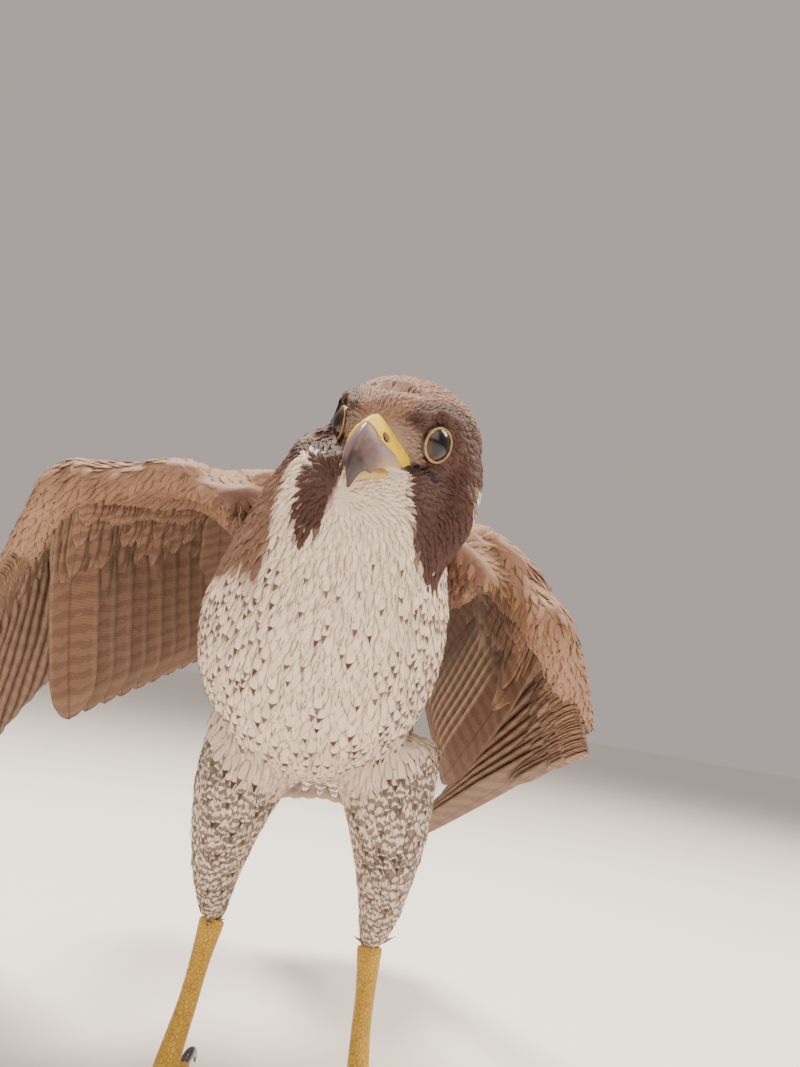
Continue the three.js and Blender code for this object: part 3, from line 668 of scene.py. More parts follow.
def markings(points, region):
    """Colour, and the strengths of spot, bars, streak and pale rim, at each place."""
    h = to_head(points)
    station, back, across = body_place(points)
    on_wing = (region == ARMS).astype(float)
    edge = np.interp(h[:, 1], [-22, -12, 2, 9, 14, 24, 34, 60], [-4, -8, -10, -9, -8, -16, -30, -70])
    hood = smooth(-1.5, 1.5, h[:, 2] - edge) * (station > 0.62)
    patch = np.maximum.reduce([near_line(h, *line) for line in MOUSTACHES])
    shoulder = smooth(-24.5, -27.5, points[:, 0]) * smooth(206, 212, points[:, 2])
    neck_side = smooth(-25.5, -28.5, h[:, 0]) * smooth(-6, -12, h[:, 2]) * smooth(-58, -48, h[:, 2])
    brown_side = np.maximum(shoulder, neck_side) * np.isin(region, (BODY, HEAD))
    mantle = np.maximum(smooth(0.08, 0.3, back), brown_side) * (1 - hood)
    masks = {
        # Of these masks the mouth lays painted shade in the crease of the mouth; the rest are the bird's own
        # markings.
        "mantle": mantle, "crown": hood, "mask": both_sides(h, *MASK, 0.3), "moustache": patch,
        "lore": both_sides(h, *LORE, 0.4) * 0.8, "mouth": both_sides(h, *MOUTH_SHADE_LINE, 0.3), "wing": on_wing,
    }
    colour = np.broadcast_to(TONES["cream"], points.shape).copy()
    for name, mask in masks.items():
        colour = colour * (1 - mask[:, None]) + TONES[name] * mask[:, None]
    plain = 1 - np.maximum.reduce(list(masks.values()))
    throat = smooth(-48, -30, h[:, 2])
    belly = 1 - smooth(0.3, 0.45, station)
    flank = smooth(16, 34, np.abs(across + 4))
    spot = plain * (1 - throat) * (1 - belly) * (0.25 + 0.75 * flank)
    streak = plain * (1 - smooth(-44, -26, h[:, 2])) * (1 - 0.6 * flank)
    bars = plain * np.maximum(belly, region == LEGS) * 0.75
    rim = np.maximum(mantle * 0.6, on_wing * 0.45)
    return colour, np.stack([spot, bars, streak, rim], 1)


print("tones:", ", ".join(TONES))

# %% [markdown]
# ## One feather
# A feather is a thin curved blade on a shaft. It could be a flat card with a picture on it, but a card has
# no thickness and its outline shows straight edges. Here each is a closed blade with an upper and a lower
# face that meet in the rim. One grid is made once, and arrays of roots, directions and sizes bend it into
# thousands of feathers at a time.

# %% A grid with two faces
def blade_grid(stations, columns):
    """Places along 0 to 1 and across -1 to 1 on an upper and a lower sheet that share their rim."""
    t, s = np.meshgrid(np.linspace(0, 1, stations), np.linspace(-1, 1, columns), indexing="ij")
    upper = np.arange(stations * columns).reshape(stations, columns)
    lower = upper.copy()
    inside = (stations - 2) * (columns - 2)
    lower[1:-1, 1:-1] = stations * columns + np.arange(inside).reshape(stations - 2, columns - 2)
    face = np.zeros((stations, columns))
    face[1:-1, 1:-1] = 1
    sheets = np.stack([upper, lower])
    cells = np.stack([sheets[:, :-1, :-1], sheets[:, 1:, :-1], sheets[:, 1:, 1:], sheets[:, :-1, 1:]], -1)
    quads = np.concatenate([cells[0].reshape(-1, 4), cells[1].reshape(-1, 4)[:, ::-1]])
    below = [a[1:-1, 1:-1].ravel() for a in (t, s, -face)]
    return [np.concatenate([a.ravel(), b]) for a, b in zip((t, s, face), below)], quads


# Outlines are shares of the half width at places along the blade. PATCH_SIZE is a feather's part of the map.
PATCH_SIZE = 0.003
SOFT = ([0, 0.3, 0.65, 0.88, 1], [0.4, 0.9, 1, 0.72, 0.3])
ROUND = ([0, 0.25, 0.6, 0.85, 1], [0.35, 0.85, 1, 0.9, 0.5])
BROAD = ([0, 0.08, 0.4, 0.84, 0.95, 1], [0.3, 0.75, 1, 0.97, 0.86, 0.6])
POINTED = ([0, 0.08, 0.35, 0.7, 0.88, 1], [0.3, 0.8, 1, 0.86, 0.6, 0.12])


def feathers(name, f, grid, shape, tip=0.22, thick=0.25, camber=0.12, ragged=0.0):
    """Bends the grid into every feather of f: an arc along, a low vault across and a rounded tip.

    f holds root, along, up, length, wide (both half widths), colour, marks, fine and bake, and where they
    are wanted lift, roll, bend and sweep.
    """
    (t, s, face), quads = blade_grid(*grid)
    count = len(f["root"])
    part = {
        key: np.broadcast_to(f.get(key, 0.0), (count,)).astype(float)[:, None]
        for key in ("lift", "roll", "bend", "sweep")
    }
    length = f["length"][:, None]
    along, up = unit(f["along"]), unit(f["up"])
    across = unit(np.cross(up, along))
    cos, sin = np.cos(part["lift"]), np.sin(part["lift"])
    along, up = along * cos + up * sin, up * cos - along * sin
    cos, sin = np.cos(part["roll"]), np.sin(part["roll"])
    across, up = across * cos + up * sin, up * cos - across * sin
    share = np.interp(t, *shape)
    wide = np.where(s > 0, f["wide"][:, 1:], f["wide"][:, :1]) * share
    rim = (np.abs(face) < 0.5) * (t > 0.3)
    rough = ragged * rim * rng.uniform(-1, 1, (count, len(t)))
    reach = t - tip * s**2 * t**3 + rough
    turn = part["bend"] * reach
    ahead = length * reach * np.sinc(turn / np.pi)
    down = length * reach * np.sin(turn / 2) * np.sinc(turn / 2 / np.pi)
    aside = wide * s * (1 + rough) + part["sweep"] * length * reach**2
    high = face * thick / 2 * (1 - 0.6 * t) - camber * wide * s**2 - down
    points = f["root"][:, None] + ahead[..., None] * along[:, None] + aside[..., None] * across[:, None]
    points = points + high[..., None] * up[:, None]
    every = (quads[None] + len(t) * np.arange(count)[:, None, None]).reshape(-1, 4)
    piece = mesh_of(name, points.reshape(-1, 3), [every])
    mesh = piece.data
    for key in ("colour", "marks", "fine"):
        store = mesh.attributes.new(key, "FLOAT_COLOR", "POINT")
        values = np.ones((count, 4))
        values[:, : f[key].shape[1]] = f[key]
        store.data.foreach_set("color", values.repeat(len(t), 0).ravel())
    vane = np.broadcast_to(np.stack([s / 2 + 0.5, t], 1), (count, len(t), 2)).reshape(-1, 2)
    patch = (f["bake"][:, None] + PATCH_SIZE * (vane.reshape(count, -1, 2) - 0.5)).reshape(-1, 2)
    for key, values in (("OFBake", patch), ("vane", vane)):
        layer = mesh.uv_layers.new(name=key)
        layer.data.foreach_set("uv", values[every.ravel()].ravel())
    return piece


print("one small feather has", 2 * len(blade_grid(6, 5)[1]), "triangles")

# %% [markdown]
# ## Feather colour and sheen
# Every barb of a feather is a fine thread at a slant to the shaft, so the blade looks silky and a little
# ribbed. The material reads the blade's own map, across and along, for the shaft, the bars, the drop spot
# and the rim, and the feather's stored colour and strengths.

# %% The feather material
FULL_TURN = 6.2832


def feather_material(name):
    """Bars are a wave along the blade, the spot an oval near the tip, the rim the outermost strip."""
    material, start, link = new_material(name, Roughness=0.62, Specular_IOR_Level=0.28)
    vane = start.node("ShaderNodeUVMap", {"uv_map": "vane"})
    parts = start.node("ShaderNodeSeparateXYZ", {}, {0: vane})
    across, along = parts, parts.also(1)
    colour = start.node("ShaderNodeAttribute", {"attribute_name": "colour"})
    marks = start.node("ShaderNodeAttribute", {"attribute_name": "marks"})
    split = start.node("ShaderNodeSeparateColor", {}, {0: marks})
    spot, bars, streak = (split.also(i) for i in range(3))
    rim = marks.also("Alpha")
    fine_at = start.node("ShaderNodeAttribute", {"attribute_name": "fine"})
    keel = fine_at.also("Alpha")
    fine = start.node("ShaderNodeSeparateColor", {}, {0: fine_at})
    barbs, bands, chance = (fine.also(i) for i in range(3))
    place_at = start.node("ShaderNodeTexCoord", output=3)
    off = (across - 0.5).sum("ABSOLUTE") * 2.0
    wobble = place_at.noise(260.0, 3.0) - 0.5
    slant = along * 100.0 * barbs - off * 4.0 + chance * 7.0
    thread = (slant * FULL_TURN + wobble * 5.0).sum("SINE")
    grain = place_at.noise(1500.0, 2.0)
    band = ((along * 20.0 * bands - off * 0.35 + wobble * 0.9) * FULL_TURN).sum("SINE").step(-0.1, 0.35)
    narrow = (0.42 - (along - 0.84) * 0.7) * (chance * 0.4 + 0.8)
    spot_across = ((across - 0.5) / narrow).sum("POWER", 2.0)
    spot_along = ((along - 0.83) / 0.15).sum("POWER", 2.0)
    spot_far = (spot_across + spot_along).sum("SQRT")
    spot_mask = (spot_far + wobble * 0.9).step(1.0, 0.78) * spot
    streak_mask = (off + wobble * 0.2).step(0.17, 0.07) * along.step(0.5, 0.7) * streak
    rim_mask = off.sum("MAXIMUM", along.step(0.6, 1.0)).step(0.72, 0.97) * rim
    shaft = off.step(0.09, 0.03)
    dark = spot_mask.sum("MAXIMUM", streak_mask).sum("MAXIMUM", band * bars, clamp=True)
    tone = dark.mix(colour, linear(70, 48, 40))
    tone = (rim_mask * 0.55).mix(tone, linear(222, 190, 158))
    tone = (shaft * 0.4 * keel).mix(tone, linear(70, 48, 38))
    light = (thread * 0.06 + grain * 0.4 + 0.77) * (chance * 0.16 + 0.93)
    shade = start.node("ShaderNodeCombineColor", {}, {0: light, 1: light, 2: light})
    link("Base Color", tone.shaded(shade))
    link("Normal", (thread * 0.5 + shaft * 1.4 * keel).bump(0.35, 0.0002))
    return material


plumage = feather_material("plumage")
print("feather nodes:", len(plumage.node_tree.nodes))

# %% [markdown]
# ## Places for the small feathers
# Feathers grow at even distances, closer on the face than on the back. Random places are drawn by area, and
# a place is kept only where no kept one lies nearer than its own distance. Each place then belongs to body,
# head, legs or arms, by the guide whose flesh comes nearest to it.

# %% Draw and thin the places
def spread(candidates):
    """Random places on the skin's triangles by area over the square of the distance wanted there."""
    a, b, c = (skin_points[skin_corners[:, i]] for i in range(3))
    area = np.linalg.norm(np.cross(b - a, c - a), axis=1)
    gap = follow((a + b + c) / 3, unit(np.cross(b - a, c - a)))[1]
    pick = rng.choice(len(area), candidates, p=(area / gap**2) / (area / gap**2).sum())
    u, v = rng.random((2, candidates))
    u, v = np.where(u + v > 1, (1 - u, 1 - v), (u, v))
    weight = np.stack([1 - u - v, u, v], 1)[..., None]
    at = (skin_points[skin_corners[pick]] * weight).sum(1)
    normal = unit((skin_normals[skin_corners[pick]] * weight).sum(1))
    return at, normal, (skin_uv[skin_loops[pick]] * weight).sum(1)


def thinned(points, gap):
    """Which places stay when each kept one clears its own distance round it."""
    tree = KDTree(len(points))
    for i, p in enumerate(points):
        tree.insert(p, i)
    tree.balance()
    keep = np.ones(len(points), bool)
    for i, p in enumerate(points):
        if keep[i]:
            near = [j for _, j, _ in tree.find_range(p, gap[i]) if j > i]
            keep[near] = False
    return keep


CANDIDATES = 130000
CLEARANCE = 0.92
at, normal, bake = spread(CANDIDATES)
along, gap = follow(at, normal)
keep = thinned(at, gap * CLEARANCE)
at, normal, bake, along, gap = at[keep], normal[keep], bake[keep], along[keep], gap[keep]
region = region_of(at)
print("places:", len(at))
print("places on body, head, thighs, wings:", np.bincount(region))

# %% [markdown]
# ## Bare places
# A falcon has no feathers on its bill or round its eyes, so the places there are struck out.

# %% Leave the eyes and the bill bare
BARE_ROUND_EYE = 6.6
FAR_FROM_EYE = 99.0
h = to_head(at)
bare = (h[:, 1] < face_edge(h[:, 2]) + 0.5) & (np.abs(h[:, 2] + 0.5) < 9) & (np.abs(h[:, 0]) < 12.5)
near_eye = np.full(len(at), FAR_FROM_EYE)
for side in (1, -1):
    ahead, off = beside_eye(at, side)
    near_eye = np.minimum(near_eye, np.where(ahead > 0, off, FAR_FROM_EYE))
bare |= near_eye < BARE_ROUND_EYE
grow = ~bare
print("bare places:", bare.sum())

# %% [markdown]
# ## Feathers that fit the skin
# A straight feather would stand off a round breast or sink into a hollow. So the skin's fall under each
# feather is read at two places, and the feather is lifted and bent by that much.

# %% Small feathers bent to the skin
HALF_WIDTH = 0.68
SMALL_BARBS = 0.09
SMALL_BANDS = 0.12
SMALL_SHAFT = 0.1


def fitted(root, way, size):
    """Lift and bend that carry a feather over the skin: 0.035 of its length high half way, 0.05 at its tip.

    The skin's drop is read half way and at the tip. With the arc's height L(l t - b t squared / 2), the bend
    b is four times the second drop less twice the first, over L, and the lift l is b / 2 less drop / L.
    """
    drops = []
    for share, rise in ((0.5, 0.035), (1.0, 0.05)):
        there = root + way * (share * size)[:, None]
        near = nearest_skin(there)
        over = ((there - skin_points[near]) * skin_normals[near]).sum(1)
        drops.append(over.clip(-0.5 * size, 0.7 * size) - rise * size)
    bend = (4 * (drops[1] - 2 * drops[0]) / size).clip(-0.8, 1.6)
    return bend / 2 - drops[1] / size, bend


def small_feathers(chosen):
    """Sizes and marks of the small feathers at the chosen places."""
    count = chosen.sum()
    root, up = at[chosen] - normal[chosen] * 0.5, normal[chosen]
    colour, marks = markings(at[chosen], region[chosen])
    way = unit(along[chosen] + rng.normal(0, 0.09, count)[:, None] * np.cross(up, along[chosen]))
    size = gap[chosen] * rng.uniform(0.9, 1.12, count)
    length = size * rng.uniform(3.7, 4.5, count) * np.interp(near_eye[chosen], [6.5, 11], [0.45, 1])
    lift, bend = fitted(root, way, length)
    spotted = rng.random(count) < 0.62 * marks[:, 0]
    streaked = (rng.random(count) < 0.4 * marks[:, 2]) & ~spotted
    spots = spotted * rng.uniform(0.8, 1, count)
    streaks = streaked * rng.uniform(0.5, 1, count)
    lift = lift + rng.normal(0, 0.015, count) + 0.06 * spotted
    roll = rng.normal(0, 0.05, count)
    sweep = rng.normal(0, 0.06, count)
    colour = colour * rng.uniform(0.95, 1.05, count)[:, None]
    chance = rng.random(count)
    barbs, bands, shaft = (np.full(count, value) for value in (SMALL_BARBS, SMALL_BANDS, SMALL_SHAFT))
    return dict(
        root=root, along=way, up=up, length=length, wide=np.stack([size * HALF_WIDTH, size * HALF_WIDTH], 1),
        lift=lift, bend=bend, roll=roll, sweep=sweep, colour=colour, bake=bake[chosen],
        marks=np.stack([spots, marks[:, 1], streaks, marks[:, 3]], 1),
        fine=np.stack([barbs, bands, chance, shaft], 1),
    )


print("small feathers to grow:", grow.sum())

# %% [markdown]
# ## Grow the small feathers
# Head, body, thighs and wing fronts are separate pieces, so each stays light enough to be kept in full.
# The face has the smallest feathers and the simplest blades.

# %% Small feathers
def grow_piece(name, chosen, grid, slot, *nodes):
    """Small feathers at the chosen places as one piece."""
    piece = feathers(name, small_feathers(chosen), grid, SOFT, tip=0.3, thick=0.1, ragged=0.045)
    return finish(piece, plumage, slot, *nodes)


station = body_place(at)[0]
head_y = to_head(at)[:, 1]
head, body, thigh, arm = (grow & (region == kind) for kind in (HEAD, BODY, LEGS, ARMS))
low_neck = body & (station > 0.6) & (station <= 0.72)
PIECES = [
    ("face_feathers", head & (head_y < 8), (5, 4), "hood", ["head"]),
    ("nape_feathers", head & (head_y >= 8), (5, 4), "hood", ["head"]),
    ("throat_feathers", body & (station > 0.72), (5, 4), "breast", ["neck"]),
    ("upper_breast_feathers", low_neck, (5, 5), "breast", ["neck", "torso"]),
    ("breast_feathers", body & (station > 0.42) & (station <= 0.6), (6, 5), "breast", ["torso"]),
    ("belly_and_back_feathers", body & (station <= 0.42), (6, 5), "breast", ["torso"]),
    ("thigh_feathers", thigh, (6, 5), "breast", ["thigh_left", "thigh_right"]),
    ("left_wing_front_feathers", arm & (at[:, 0] > 0), (6, 5), "flight", []),
    ("right_wing_front_feathers", arm & (at[:, 0] < 0), (6, 5), "flight", []),
]
for name, chosen, grid, slot, nodes in PIECES:
    grow_piece(name, chosen, grid, slot, *nodes)

# %% [markdown]
# ## The skin's own colour
# Where two feathers part, the skin shows between them. So it wears the coat's own pattern, darkened a little
# by a fine grain, and a gap does not look bald.

# %% The skin material
skin_material, start, link = new_material("skin", Roughness=0.7)
tone = start.node("ShaderNodeAttribute", {"attribute_name": "colour"})
grain = start.node("ShaderNodeTexCoord", output=3).noise(900.0, 3.0)
link("Base Color", (grain * 0.3).mix(tone, (0.05, 0.03, 0.022, 1)))
link("Normal", grain.bump(0.4, 0.0004))
values = np.ones((len(skin_points), 4))
values[:, :3] = markings(skin_points, region_of(skin_points))[0]
skin.data.attributes.new("colour", "FLOAT_COLOR", "POINT").data.foreach_set("color", values.ravel())
finish(skin, skin_material, "breast", "head", "neck", "torso", "thigh_left", "thigh_right")

# %% [markdown]
# ## The big feathers of the wings
# A primary is long and narrow on its leading side, a secondary broad and blunt. Coverts lie over and under
# their roots in rows of their own, each shorter than the row below it. The rows are read at any number of
# places, so that the coverts are as many as the real ones.

# %% Flight feathers and coverts
BLADES = {
    "tertial": dict(wide=(11, 13), roll=4, droop=3, sweep=0, shape=BROAD),
    "secondary": dict(wide=(9, 14), roll=12, droop=5, sweep=2, shape=BROAD),
    "primary": dict(wide=(6, 15), roll=2, droop=1, sweep=3, shape=POINTED),
}
FLIGHT_SHADE = 0.52


def on_skin_map(points):
    """Each root's place on the skin's own unwrap, from the nearest point of the skin."""
    return point_uv[nearest_skin(points)]


def read_row(r, count):
    """A row's roots, directions and lengths at even steps from its first feather to its last."""
    t, n = np.linspace(0, len(r["root"]) - 1, count), np.arange(len(r["root"]))
    columns = np.concatenate([r["root"], r["along"], r["length"][:, None]], 1)
    values = np.stack([np.interp(t, n, column) for column in columns.T], 1)
    return values[:, :3], values[:, 3:6], values[:, 6]


def dressed(root, along, up, length, wide, colour, marks, fine, **more):
    """One row's feathers with the same marks, each a little lighter or darker than the next."""
    count = len(root)
    shade = rng.uniform(0.92, 1.08, count)[:, None]
    return dict(
        root=root, along=along, up=np.broadcast_to(up, root.shape), length=length,
        wide=np.broadcast_to(wide, (count, 2)), colour=shade * colour, bake=on_skin_map(root),
        marks=np.broadcast_to(np.array(marks, float), (count, 4)),
        fine=np.stack([np.full(count, fine[0]), np.full(count, fine[1]), rng.random(count)], 1), **more,
    )


def flight_blades(r):
    """The big feathers of a row. The wing's outer side is across + on the right and across - on the left."""
    b, side = BLADES[r["kind"]], r["side"]
    wide = b["wide"] if side > 0 else b["wide"][::-1]
    length = r["length"]
    return dressed(
        r["root"], r["along"], r["up"], length, wide, TONES["wing"] * FLIGHT_SHADE,
        (0, 0.35, 0, 0.16), (0.75, 0.7), roll=np.radians(-side * b["roll"]),
        bend=2 * b["droop"] * length / 1e4, sweep=side * b["sweep"] * length / 1e4,
    )


def covert_blades(r, count, share, lift, slope, wide, back=0.0, marks=(0, 0.25, 0, 0.4), tone=0.74):
    """A tier of coverts: their part of the feather's length, height over its face, and slope down to it."""
    root, along, length = read_row(r, count)
    side, b = r["side"], BLADES[r["kind"]]
    along = unit(along + slope * r["up"] + rng.normal(0, 0.025, (count, 3)))
    size = (share * np.minimum(length, 150) + 12) * rng.uniform(0.9, 1.1, count)
    pair = np.array([0.8, 1.1]) * wide
    return dressed(
        root + (lift + rng.uniform(-0.3, 0.3, (count, 1))) * r["up"] - back * along, along, r["up"], size,
        pair if side > 0 else pair[::-1], TONES["wing"] * tone, marks, (0.4, 0.22),
        roll=np.radians(-side * b["roll"]) * np.ones(count), bend=0.1 * np.sign(lift),
    )


def put_together(parts):
    """Several sets of feathers as one set. A value given once counts for every feather of its set."""

    def filled(part, key):
        return np.broadcast_to(part[key], (len(part["root"]),) + np.shape(part[key])[1:])

    return {key: np.concatenate([filled(part, key) for part in parts]) for key in parts[0]}


UPPER = [
    dict(count=18, share=0.36, lift=3.4, slope=-0.012, wide=8.5),
    dict(count=24, share=0.22, lift=5.2, slope=-0.02, wide=7),
    dict(count=30, share=0.12, lift=7.2, slope=-0.03, wide=5.5, back=3),
]
LINES = (0, 0.4, 0, 0.2)
# Under the wing the coverts are painted darker the nearer their tier lies to the flight feathers, from 0.94
# of the wing's colour at the front edge to 0.56 in the longest tier: their own brown, with painted shade
# under the wing.
UNDERSIDE = [
    dict(count=26, share=0.5, lift=-2.0, slope=0.004, wide=6.5, marks=LINES, tone=0.56),
    dict(count=30, share=0.37, lift=-3.2, slope=0.01, wide=5.6, marks=LINES, tone=0.6),
    dict(count=34, share=0.25, lift=-4.6, slope=0.016, wide=5, marks=LINES, tone=0.66),
    dict(count=38, share=0.14, lift=-6.2, slope=0.024, wide=4.4, marks=LINES, tone=0.78),
    dict(count=42, share=0.06, lift=-8.0, slope=0.03, wide=4, back=3, marks=LINES, tone=0.94),
]
for name in WINGS:
    tertials, secondaries, primaries = rows[name]
    for r in rows[name]:
        blades = feathers(
            f"{name}_{r['kind']}_feathers", flight_blades(r), (30, 11), BLADES[r["kind"]]["shape"],
            tip=0.05, thick=0.6, camber=0.02, ragged=0.003,
        )
        finish(blades, plumage, "flight", f"wing_{name}")
    tiers = [covert_blades(r, **tier) for r in (secondaries, primaries) for tier in UPPER + UNDERSIDE]
    tiers.append(covert_blades(tertials, count=6, share=0.36, lift=4, slope=-0.02, wide=10))
    coverts = feathers(
        f"{name}_coverts", put_together(tiers), (12, 6), ROUND,
        tip=0.14, thick=0.2, camber=0.04, ragged=0.014,
    )
    finish(coverts, plumage, "flight", f"wing_{name}")

# %% [markdown]
# ## The tail
# Twelve feathers fan from the rump, the middle pair on top. Short coverts close the gap over and under
# their roots.

# %% Tail feathers and coverts
TAIL_ROOT = np.array([0, 92, 152.0])
TAIL_LENGTH = 152
TAIL_SPREAD = 19
TAIL_DROOP = 21


def tail_fan(share, lift):
    """Roots, directions and the upper side of feathers fanned to both sides, all with the same droop."""
    a, droop = np.radians(TAIL_SPREAD) * share, np.radians(TAIL_DROOP)
    level = np.stack([np.sin(a), np.cos(a)], 1) * np.cos(droop)
    along = np.column_stack([level, np.full(len(a), -np.sin(droop))])
    up = np.array([0, np.sin(droop), np.cos(droop)])
    return TAIL_ROOT + np.outer(9 * share, [1, 0, 0]) + np.outer(lift, up), along, up


share = np.linspace(-1, 1, 12)
order = 2 * np.floor(np.abs(np.arange(12) - 5.5)) + (share > 0)
root, along_tail, up_tail = tail_fan(share, 3 - 0.8 * order)
length = TAIL_LENGTH * (1 - 0.06 * share**2)
wide = np.where(share[:, None] > 0, [9.5, 11.5], [11.5, 9.5])
tail_set = dressed(
    root, along_tail, up_tail, length, wide, TONES["mantle"] * 0.85, (0, 0.6, 0, 0.5), (0.8, 0.45), bend=0.03
)
tail = feathers("tail_feathers", tail_set, (30, 11), BROAD, tip=0.06, thick=0.9, camber=0.03, ragged=0.004)
finish(tail, plumage, "flight", "tail")

RIMMED = (0, 0.2, 0, 0.6)
BARRED = (0, 0.8, 0, 0)
TAIL_COVERTS = [
    (8, 62, "mantle", RIMMED), (6, 84, "mantle", RIMMED),
    (-11, 74, "cream", BARRED), (-8, 96, "cream", BARRED),
]
tail_tiers = []
share = np.linspace(-0.9, 0.9, 8)
for lift, size, tone, marks in TAIL_COVERTS:
    height = lift - 1.5 * np.abs(share) * np.sign(lift) - 0.3 * np.arange(8) % 2
    root, along_tail, up_tail = tail_fan(share, height)
    sizes = np.full(8, float(size))
    tier = dressed(root, along_tail, up_tail, sizes, (7, 7), TONES[tone], marks, (0.4, 0.3), bend=0.05)
    tail_tiers.append(tier)
tail_coverts = feathers("tail_coverts", put_together(tail_tiers), (14, 7), ROUND, thick=0.5, ragged=0.01)
finish(tail_coverts, plumage, "flight", "tail")

# %% [markdown]
# ## Eyes and their rings
# The eye is a smooth wet ball, nearly black, with a wide pupil, so it is a true ball with a slightly
# bulging front and a clear gloss. A ring of bare skin frames it.

# %% Eyeballs and lid rings
def ball(name, side):
    """Longitude and latitude round the eye's look. The front bulges by a small bell of the angle off it."""
    look = unit(mirrored(EYE_LOOK, side))
    right = unit(np.cross(look, [0, 0, 1]))
    high = np.cross(right, look)
    rings, around = 40, 48
    tilt = np.pi * (np.arange(rings) + 1)[:, None] / (rings + 1)
    turn = np.linspace(0, 2 * np.pi, around, endpoint=False)[None]
    size = EYE_RADIUS + 0.5 * np.exp(-((tilt / 0.5) ** 2))
    grid = (size * np.cos(tilt))[..., None] * look + (size * np.sin(tilt) * np.cos(turn))[..., None] * right
    grid = grid + (size * np.sin(tilt) * np.sin(turn))[..., None] * high
    points = np.concatenate([[look * (EYE_RADIUS + 0.5)], grid.reshape(-1, 3), [-look * EYE_RADIUS]])
    piece = mesh_of(name, from_head(points + mirrored(EYE_CENTRE, side)), tube_faces(rings, around))
    behind = 20
    off_look = (size * np.sin(tilt) + behind * (np.cos(tilt) < 0) + 0 * turn).ravel()
    off = np.concatenate([[0], off_look, [behind]])
    piece.data.attributes.new("off", "FLOAT", "POINT").data.foreach_set("value", off)
    faces_out(piece)
    return piece


def ring(name, side, radius, thick, ahead):
    """A closed tube round the eye's look, flatter than round, with a slight wave in its thickness."""
    look = unit(mirrored(EYE_LOOK, side))
    right = unit(np.cross(look, [0, 0, 1]))
    high = np.cross(right, look)
    around, section = 72, 12
    u = np.linspace(0, 2 * np.pi, around, endpoint=False)[:, None]
    v = np.linspace(0, 2 * np.pi, section, endpoint=False)[None]
    size = thick * (1 + 0.12 * np.sin(9 * u) + 0.08 * np.sin(23 * u + 1))
    spoke = np.cos(u)[..., None] * right + np.sin(u)[..., None] * high
    out = (radius + size * np.cos(v))[..., None] * spoke
    points = out + (ahead + 0.8 * size * np.sin(v))[..., None] * look + mirrored(EYE_CENTRE, side)
    grid = np.arange(around * section).reshape(around, section)
    corners = [grid, np.roll(grid, -1, 0), np.roll(np.roll(grid, -1, 0), -1, 1), np.roll(grid, -1, 1)]
    piece = mesh_of(name, from_head(points.reshape(-1, 3)), [np.stack(corners, -1).reshape(-1, 4)])
    faces_out(piece)
    return piece


eye_material, start, link = new_material(
    "eye", Roughness=0.18, Coat_Weight=0.35, Coat_Roughness=0.03, Specular_IOR_Level=0.3
)
off = start.node("ShaderNodeAttribute", {"attribute_name": "off"}, output=2)
link("Base Color", off.step(3.9, 4.3).mix((0.004, 0.003, 0.003, 1), linear(58, 36, 26)))
ring_material, start, link = new_material("eye_ring", Roughness=0.5)
grain = start.node("ShaderNodeTexCoord", output=3).noise(1400.0, 3.0)
link("Base Color", grain.mix(linear(186, 156, 96), linear(128, 100, 66)))
link("Normal", grain.bump(0.5, 0.0003))
for name, side in (("left", 1), ("right", -1)):
    finish(ball(f"eyeball_{name}", side), eye_material, "eye", f"eye_{name}")
    lids = ring(f"lid_ring_{name}", side, radius=5.75, thick=0.5, ahead=5.9)
    finish(lids, ring_material, "bare_skin", "head")

# %% [markdown]
# ## The bill
# Across its base the upper bill is a tent: thin along the ridge and wide at the corners of the mouth. The
# cere is the soft yellow skin over that base. Its front edge runs slanting from far forward on the ridge to
# far back at the mouth, so its rings are not cut square: each line along the bill has its own end.

# %% Surface of the upper bill
# Each station: the ridge's place and height, the lower edge's place and height, and half the width.
BILL = np.array([
    [-6, 5.6, -8, -7.6, 11.4], [-13, 6.5, -13, -8, 10.7], [-21, 7.2, -19, -8, 9.4],
    [-27.5, 5.2, -24, -8, 7.7], [-31.8, 2, -27, -8.6, 6.2], [-35, -3, -29.2, -9.6, 4.4],
    [-36.3, -8.5, -31.6, -10.2, 2.6], [-35.6, -12.5, -33, -12.8, 1.3], [-34.8, -15.4, -34.2, -15.4, 0.5],
])
BILL_STEPS = 240
BILL_LINE = spline(BILL, BILL_STEPS)
NOSTRIL = np.array([6.1, -23.4, 1.4])


def bill_surface(reach, turn, swell=0.0):
    """A point of the bill at a station number and a turn round it: a tent above, a shallow roof below.

    The tent's height share is the sine of the turn to the power 1.25, its width the cosine to the power 1.4.
    """
    stations = np.linspace(0, len(BILL) - 1, BILL_STEPS)
    columns = np.stack([np.interp(reach, stations, column) for column in BILL_LINE.T], -1)
    tooth = 0.9 * np.exp(-(((reach - 4.9) / 0.3) ** 2)) - 0.5 * np.exp(-(((reach - 5.5) / 0.25) ** 2))
    top, low = columns[..., :2], columns[..., 2:4] + tooth[..., None] * [0.25, -1.0]
    sine, cosine = np.sin(turn), np.cos(turn)
    upper = np.abs(sine) ** 1.25 * (1 + swell / 12)
    lower = 0.1 * np.abs(sine) ** 0.8 - swell / 20
    share = np.where(sine > 0, upper, lower)
    power = np.where(sine > 0, 1.4 - 0.5 * smooth(4, 7, reach), 0.8)
    across = (columns[..., 4] + swell) * np.sign(cosine) * np.abs(cosine) ** power
    along = low + (top - low) * share[..., None]
    return np.concatenate([across[..., None], along], -1)


